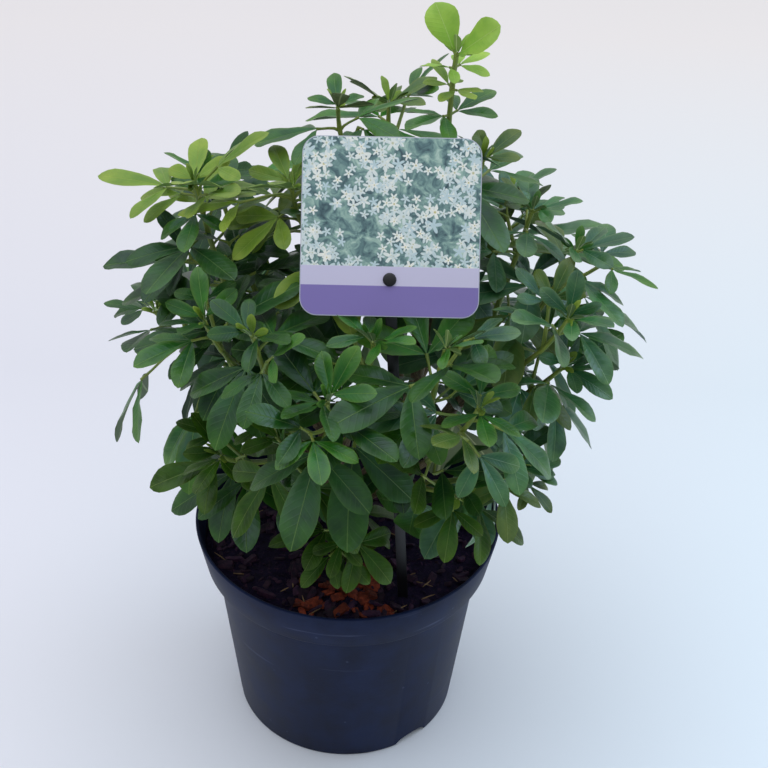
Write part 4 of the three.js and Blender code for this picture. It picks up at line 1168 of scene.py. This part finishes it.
def chipMaterial(name, dark, light, roughness=0.75):
    # Composted conifer bark: flaky, red-brown to dark brown, darker where it is damp
    material, tree, shader = newMaterial(name)
    place = addNode(tree, "TexCoord").outputs["Object"]
    flake = addNode(tree, "TexNoise", {"Scale": 320, "Detail": 4, "Roughness": 0.6}, {"Vector": place})
    flakes = addNode(tree, "ValToRGB", links={"Fac": flake}, stops=[(0.32, 0), (0.7, 1)])
    ground = addNode(tree, "Mix", {"A": dark, "B": light}, {"Factor": flakes}, data_type="RGBA")
    tone = addNode(tree, "Attribute", attribute_name="tone").outputs["Fac"]
    value = addNode(tree, "Math", {1: 0.45, 2: 0.9}, {0: tone}, operation="MULTIPLY_ADD")
    toned = addNode(tree, "HueSaturation", links={"Value": value, "Color": ground})
    bump = addNode(tree, "Bump", {"Strength": 0.7, "Distance": 0.0008}, {"Height": flake})
    setNode(shader, {"Roughness": roughness, "Specular IOR Level": 0.25},
            {"Base Color": toned, "Normal": bump})
    return material


# Shares of a chip's length, where its width and height come with how much they vary
chip = {"width": (0.5, 0.2), "height": (0.24, 0.1), "bevel": 0.17, "uneven": 0.09, "raised": 0.22,
        "edgeRoom": 0.6, "smallness": 1.6}  # a higher power makes more of the chips small


def chipTemplate():
    bm = bmesh.new()
    bmesh.ops.create_cube(bm, size=1)
    bevelled(bm, bm.edges[:], chip["bevel"], 1)
    return templateOf(bm)


def crumbTemplate():
    bm = bmesh.new()
    bmesh.ops.create_icosphere(bm, subdivisions=1, radius=0.5)
    return templateOf(bm)


def scatter(name, count, template, sizes, tilt, patch, material, random):
    corners = template[0]
    rows, tones = [], []
    while len(rows) < count:
        r = patch[2] * math.sqrt(abs(random()))
        a = math.pi * random()
        x, y = patch[0] + r * math.cos(a), patch[1] + r * math.sin(a)
        r = math.hypot(x, y)
        big = sizes[0] + (sizes[1] - sizes[0]) * abs(random()) ** chip["smallness"]
        fromStick = (Vector((x, y)) - Vector(label["entry"])).length
        if (r < mix["clearOfTrunk"] or r > mix["radius"] - big * chip["edgeRoom"]
                or fromStick < mix["clearOfStick"] + big / 2):
            continue
        wide, high = (big * (share + more * random()) for share, more in (chip["width"], chip["height"]))
        size = Vector((big, wide, high))
        turn = (Matrix.Rotation(math.pi * random(), 3, "Z") @ Matrix.Rotation(tilt * random(), 3, "X")
                @ Matrix.Rotation(tilt * random(), 3, "Y"))
        jitter = np.array([[random(), random(), random()] for _ in corners]) * chip["uneven"]
        place = Vector((x, y, mixHeight(x, y) + size.z * chip["raised"]))
        rows.append((corners + jitter) * np.array(size[:]) @ np.array(turn).T + np.array(place[:]))
        tones.append(random())
    values = {"tone": np.repeat(np.array(tones)[:, None], len(corners), axis=1)}
    return stampedPiece(name, np.array(rows), template, [material], values, sharpAt=30)


def fibreTubes(random):
    tubes = []
    while len(tubes) < mix["fibres"]:
        a, r, way = math.pi * random(), mix["fibreReach"][0] * math.sqrt(abs(random())), math.pi * random()
        half = (mix["fibreLength"][0] + mix["fibreLength"][1] * random()) / 2
        middle = Vector((r * math.cos(a), r * math.sin(a), 0))
        ends = [middle + Vector((math.cos(way), math.sin(way), 0)) * half * s for s in (-1, -0.5, 0, 0.5, 1)]
        if r >= mix["clearOfTrunk"] and max(e.length for e in ends) <= mix["fibreReach"][1]:
            points = [Vector((e.x, e.y, mixHeight(e.x, e.y) + mix["fibreRise"])) for e in ends]
            tubes.append({"points": points, "radii": mix["fibreRadii"]})
    return tubes


placePiece(newPiece("potting_mix_surface", mixBody(), [mixMaterial()]), "potting_mix", "potting_mix")
anywhere = (0, 0, mix["radius"])
loose = {  # how many, their shape, their least and most size, tilt, where they lie and their material
    "bark_chips_red": (46, chipTemplate(), (6, 15), 0.5, mix["redPatch"],
                       chipMaterial("red_brown_bark_chip", "42140e", "924028")),
    "bark_chips_brown": (430, chipTemplate(), (3, 12), 0.6, anywhere,
                         chipMaterial("dark_brown_bark_chip", "120824", "3c2034")),
    "mix_crumbs": (1700, crumbTemplate(), (1.2, 4), 0.9, anywhere,
                   chipMaterial("peat_crumb", "08041c", "2c1832", 0.9)),
}
spill = spreadFrom(seed * 2000)
for name, row in loose.items():
    placePiece(scatter(name, *row, spill), "potting_mix")
fibres = fibreTubes(spill)
placePiece(stampTubes("mix_fibres", fibres, tubeTemplate(5, 4),
                      stalkMaterial("dry_pale_fibre", "8f7450", "4c3a27", 0.8)), "potting_mix")
print("potting mix: chips, crumbs and", len(fibres), "fibres")

# Label: a printed card on a black stick, held by a pin
card = {"rim": 0.45, "softEdge": 0.18, "plate": (9, 10.8, 1.5), "plateEdge": 0.35,
        "pinRadius": 2.1, "pinBehind": 1.4, "headRadius": 3.6, "headHeight": 1.6,
        "headTaper": (0.86, 0.7), "headRounding": (0.3, 0.5), "headSteps": 40,
        "bladeWidth": 6, "bladeDepth": 2.1, "bladeEdge": 0.3, "pointLength": 14, "point": 0.4,
        "bandTop": 0.28}  # of the print's violet bands, against the card's height


def cardBody():
    bm = bmesh.new()
    bmesh.ops.create_grid(bm, x_segments=1, y_segments=1, size=label["side"] / 2)
    bmesh.ops.bevel(bm, geom=bm.verts[:], offset=label["corner"], segments=9, affect="VERTICES",
                    profile=0.5, material=-1)
    made = bmesh.ops.extrude_face_region(bm, geom=bm.faces[:])["geom"]
    bmesh.ops.translate(bm, verts=[g for g in made if isinstance(g, bmesh.types.BMVert)],
                        vec=(0, 0, label["thickness"]))
    bmesh.ops.recalc_face_normals(bm, faces=bm.faces)
    for face in bm.faces:
        face.material_index = 1
    outline = [e for e in bm.edges if abs(e.verts[0].co.z - e.verts[1].co.z) < 1e-4]
    bevelled(bm, outline, card["softEdge"], 2)
    front = max(bm.faces, key=lambda f: f.calc_center_median().z)
    bmesh.ops.inset_region(bm, faces=[front], thickness=card["rim"] - card["softEdge"])
    front.material_index = 0
    layer = bm.loops.layers.uv.new("print")
    for face in bm.faces:
        for loop in face.loops:
            co = loop.vert.co
            loop[layer].uv = (co.x / label["side"] + 0.5, co.y / label["side"] + 0.5)
    bm.transform(labelFrame)
    return bm


def printMaterial():
    # Gloss-laminated card: a plain decorative print of pale star flowers on grey green, over violet bands
    material, tree, shader = newMaterial("gloss_laminated_print")
    place = addNode(tree, "UVMap", uv_map="print")
    leafy = addNode(tree, "TexNoise", {"Scale": 13, "Detail": 5, "Roughness": 0.6, "Distortion": 1.2},
                    {"Vector": place})
    paint = addNode(tree, "ValToRGB", links={"Fac": leafy},
                    stops=[(0.32, "3a545c"), (0.46, "648686"), (0.58, "94b6aa"), (0.7, "c4dccc")])
    # Three sizes of flowers, each one in a cell of its own, kept where a slow noise clusters them
    for scale, keep in ((9, 0.48), (12, 0.45), (16, 0.41)):
        cell = addNode(tree, "TexVoronoi", {"Scale": scale, "Randomness": 0.7}, {"Vector": place},
                       voronoi_dimensions="2D")
        centre = cell.outputs["Position"]
        chance = addNode(tree, "SeparateXYZ", links={"Vector": cell.outputs["Color"]})
        local = addNode(tree, "VectorMath", links={0: place, 1: centre}, operation="SUBTRACT")
        parts = addNode(tree, "SeparateXYZ", links={"Vector": local})
        angle = addNode(tree, "Math", links={0: parts.outputs["Y"], 1: parts.outputs["X"]},
                        operation="ARCTAN2")
        turned = addNode(tree, "Math", {1: 6.28}, {0: chance.outputs["X"]}, operation="MULTIPLY")
        petal = addNode(tree, "Math", {1: 5}, {0: angle, 2: turned}, operation="MULTIPLY_ADD")
        petal = addNode(tree, "Math", links={0: petal}, operation="COSINE")
        reach = addNode(tree, "Math", {1: 0.16, 2: 0.3}, {0: petal}, operation="MULTIPLY_ADD")
        inside = addNode(tree, "Math", links={0: reach, 1: cell}, operation="SUBTRACT")
        shape = addNode(tree, "ValToRGB", links={"Fac": inside}, stops=[(0, 0), (0.03, 1)])
        cluster = addNode(tree, "TexNoise", {"Scale": 3.4, "Detail": 1}, {"Vector": centre})
        shown = addNode(tree, "Math", {1: keep}, {0: cluster}, operation="GREATER_THAN")
        both = addNode(tree, "Math", links={0: shape, 1: shown}, operation="MULTIPLY")
        petals = addNode(tree, "ValToRGB", links={"Fac": cell},
                         stops=[(0.03, "c9c27a"), (0.09, "fdfdf0"), (0.4, "eef4ec")])
        shaded = addNode(tree, "Mix", {"B": "c2dade"}, {"Factor": chance.outputs["Z"], "A": petals},
                         data_type="RGBA")
        paint = addNode(tree, "Mix", links={"Factor": both, "A": paint, "B": shaded}, data_type="RGBA")
    height = addNode(tree, "SeparateXYZ", links={"Vector": place}).outputs["Y"]
    bands = addNode(tree, "ValToRGB", links={"Fac": height},
                    stops=[(0, "8477b8"), (0.165, "8e80bf"), (0.17, "d2cfe8"), (0.275, "dadaec"),
                           (card["bandTop"], "ffffff")])
    bands.color_ramp.interpolation = "CONSTANT"
    below = addNode(tree, "Math", {1: card["bandTop"]}, {0: height}, operation="LESS_THAN")
    whole = addNode(tree, "Mix", links={"Factor": below, "A": paint, "B": bands}, data_type="RGBA")
    setNode(shader, {"Roughness": 0.32, "IOR": 1.49}, {"Base Color": whole})
    return material


def plasticMaterial(name, colour, variation, roughness):
    # A smooth moulded or cast plastic with a slight unevenness of tone
    material, tree, shader = newMaterial(name)
    place = addNode(tree, "TexCoord").outputs["Object"]
    cloud = addNode(tree, "TexNoise", {"Scale": 60, "Detail": 3}, {"Vector": place})
    ground = addNode(tree, "Mix", {"A": colour, "B": variation}, {"Factor": cloud}, data_type="RGBA")
    wear = addNode(tree, "MapRange", {"To Min": roughness - 0.06, "To Max": roughness + 0.08},
                   {"Value": cloud})
    setNode(shader, links={"Base Color": ground, "Roughness": wear})
    return material


def stickBody():
    head = labelFrame @ Vector((0, -label["pinDrop"], -card["plate"][2] - gap))
    entry = Vector((*label["entry"], mixTop))
    foot = entry + (entry - head).normalized() * label["bury"]
    rise = (head - foot).normalized()
    side = (Vector((1, 0, 0)) - rise * rise.x).normalized()
    length = (head - foot).length
    bm = bmesh.new()
    bmesh.ops.create_cube(bm, size=1)
    bmesh.ops.transform(bm, verts=bm.verts, matrix=Matrix.Diagonal(
        (card["bladeWidth"], length - card["pointLength"], card["bladeDepth"], 1)))
    bmesh.ops.translate(bm, verts=bm.verts, vec=(0, (length + card["pointLength"]) / 2, 0))
    low = min(bm.faces, key=lambda f: f.calc_center_median().y)
    made = bmesh.ops.extrude_discrete_faces(bm, faces=[low])["faces"][0]
    for v in made.verts:
        v.co = (v.co.x * card["point"], 0, v.co.z)
    bmesh.ops.remove_doubles(bm, verts=bm.verts, dist=1e-3)
    bmesh.ops.recalc_face_normals(bm, faces=bm.faces)
    bevelled(bm, bm.edges[:], card["bladeEdge"], 2)
    bm.transform(Matrix.Translation(foot) @ Matrix((side, rise, side.cross(rise))).transposed().to_4x4())
    # The blade stops at the card's back
    cut = bmesh.ops.bisect_plane(bm, geom=bm.verts[:] + bm.edges[:] + bm.faces[:], clear_outer=True,
                                 plane_co=labelFrame @ Vector((0, 0, -gap)),
                                 plane_no=labelFrame.to_3x3() @ Vector((0, 0, 1)))["geom_cut"]
    bmesh.ops.holes_fill(bm, edges=[g for g in cut if isinstance(g, bmesh.types.BMEdge)])
    return bm


def headBody():  # the pin's head before the card, the pin, and the plate behind it
    before, pin, wide = label["thickness"] + gap, card["pinRadius"], card["headRadius"]
    foot, top = -card["pinBehind"], before + card["headHeight"]
    (narrower, raised), (below, above) = card["headTaper"], card["headRounding"]
    bm = lathe([(0, foot, 0), (pin, foot, 0), (pin, before, 0), (wide, before, below),
                (wide * narrower, before + card["headHeight"] * raised, above), (0, top, 0)],
               card["headSteps"])
    plate = bmesh.ops.create_cube(bm, size=1, matrix=Matrix.Translation((0, 0, -gap - card["plate"][2] / 2))
                                  @ Matrix.Diagonal((*card["plate"], 1)))["verts"]
    bevelled(bm, list({e for v in plate for e in v.link_edges}), card["plateEdge"], 2)
    bmesh.ops.translate(bm, verts=bm.verts, vec=(0, -label["pinDrop"], 0))
    bm.transform(labelFrame)
    return bm


whiteCore = plasticMaterial("white_card_core", "c3c8d2", "b0b6c2", 0.45)
blackStick = plasticMaterial("moulded_black_polystyrene", "090a0d", "111317", 0.42)
placePiece(newPiece("printed_card", cardBody(), [printMaterial(), whiteCore]), "label_print", "label_card")
placePiece(newPiece("stick_blade", stickBody(), [blackStick]), "stick_plastic", "label_stick")
placePiece(newPiece("stick_head", headBody(), [blackStick]), "stick_plastic")
print("label: card, stick and pin")

# Stage: a pale floor and soft light from above
stage = {"radius": 4000, "nearY": -0.08, "farY": 1.1, "middleShare": 0.36, "leftX": -0.25, "rightX": 0.35,
         # floor tones near, in the middle and far, at the left and at the right: painted light and shade
         "left": ("eceef4", "dedee3", "e8e3e0"), "right": ("e5f4fc", "dae4e8", "e8e3de"),
         "sky": "eceef5", "skyStrength": 0.36, "skyRise": 0.9, "skyBack": 0.25,
         # place in metres, size, power and colour
         "lights": {"skylight": ((-0.5, 0.2, 2.2), 2.4, 12, "f4f6ff"),
                    "window": ((1.5, 0.5, 1.3), 1, 6.5, "d6e8ff")},
         "litHeight": 0.25}


def floorMaterial():
    # Matt paper with painted light and shade in its tone: lighter just before the pot, darker some way behind
    # it, warmer at the back, and bluer towards the right where the cool light is
    material, tree, shader = newMaterial("matt_pale_paper_painted_light")
    split = addNode(tree, "SeparateXYZ", links={"Vector": addNode(tree, "TexCoord").outputs["Object"]})
    back = addNode(tree, "MapRange", {"From Min": stage["nearY"], "From Max": stage["farY"]},
                   {"Value": split.outputs["Y"]})
    aside = addNode(tree, "MapRange", {"From Min": stage["leftX"], "From Max": stage["rightX"]},
                    {"Value": split.outputs["X"]})
    shares = (0, stage["middleShare"], 1)
    left, right = (addNode(tree, "ValToRGB", links={"Fac": back}, stops=list(zip(shares, stage[side])))
                   for side in ("left", "right"))
    tone = addNode(tree, "Mix", links={"Factor": aside, "A": left, "B": right}, data_type="RGBA")
    setNode(shader, {"Roughness": 0.9}, {"Base Color": tone})
    return material


def shadeSky(tree):  # brighter overhead and a little brighter behind the plant than before it
    way = addNode(tree, "SeparateXYZ", links={"Vector": addNode(tree, "TexCoord").outputs["Generated"]})
    rising = addNode(tree, "Math", {1: stage["skyRise"], 2: stage["skyStrength"]}, {0: way.outputs["Z"]},
                     operation="MULTIPLY_ADD")
    strength = addNode(tree, "Math", {1: stage["skyBack"]}, {0: way.outputs["Y"], 2: rising},
                       operation="MULTIPLY_ADD")
    setNode(tree.nodes["Background"], {"Color": stage["sky"]}, {"Strength": strength})


def addLight(name, place, size, power, colour):
    data = bpy.data.lights.new(name, "AREA")
    data.shape = "DISK"
    data.size = size
    data.energy = power
    data.color = linear(colour)[:3]
    made = bpy.data.objects.new(name, data)
    aim = Vector((0, 0, stage["litHeight"])) - Vector(place)
    made.matrix_world = Matrix.Translation(Vector(place)) @ aim.to_track_quat("-Z", "Y").to_matrix().to_4x4()
    bpy.context.scene.collection.objects.link(made)


floorMesh = bmesh.new()
bmesh.ops.create_circle(floorMesh, cap_ends=True, segments=64, radius=stage["radius"])
floor = newPiece("floor", floorMesh, [floorMaterial()])
bpy.context.scene.world = bpy.data.worlds.new("world")
bpy.context.scene.world.use_nodes = True
shadeSky(bpy.context.scene.world.node_tree)
for name, row in stage["lights"].items():
    addLight(name, *row)
bpy.context.scene.view_settings.view_transform = "Standard"
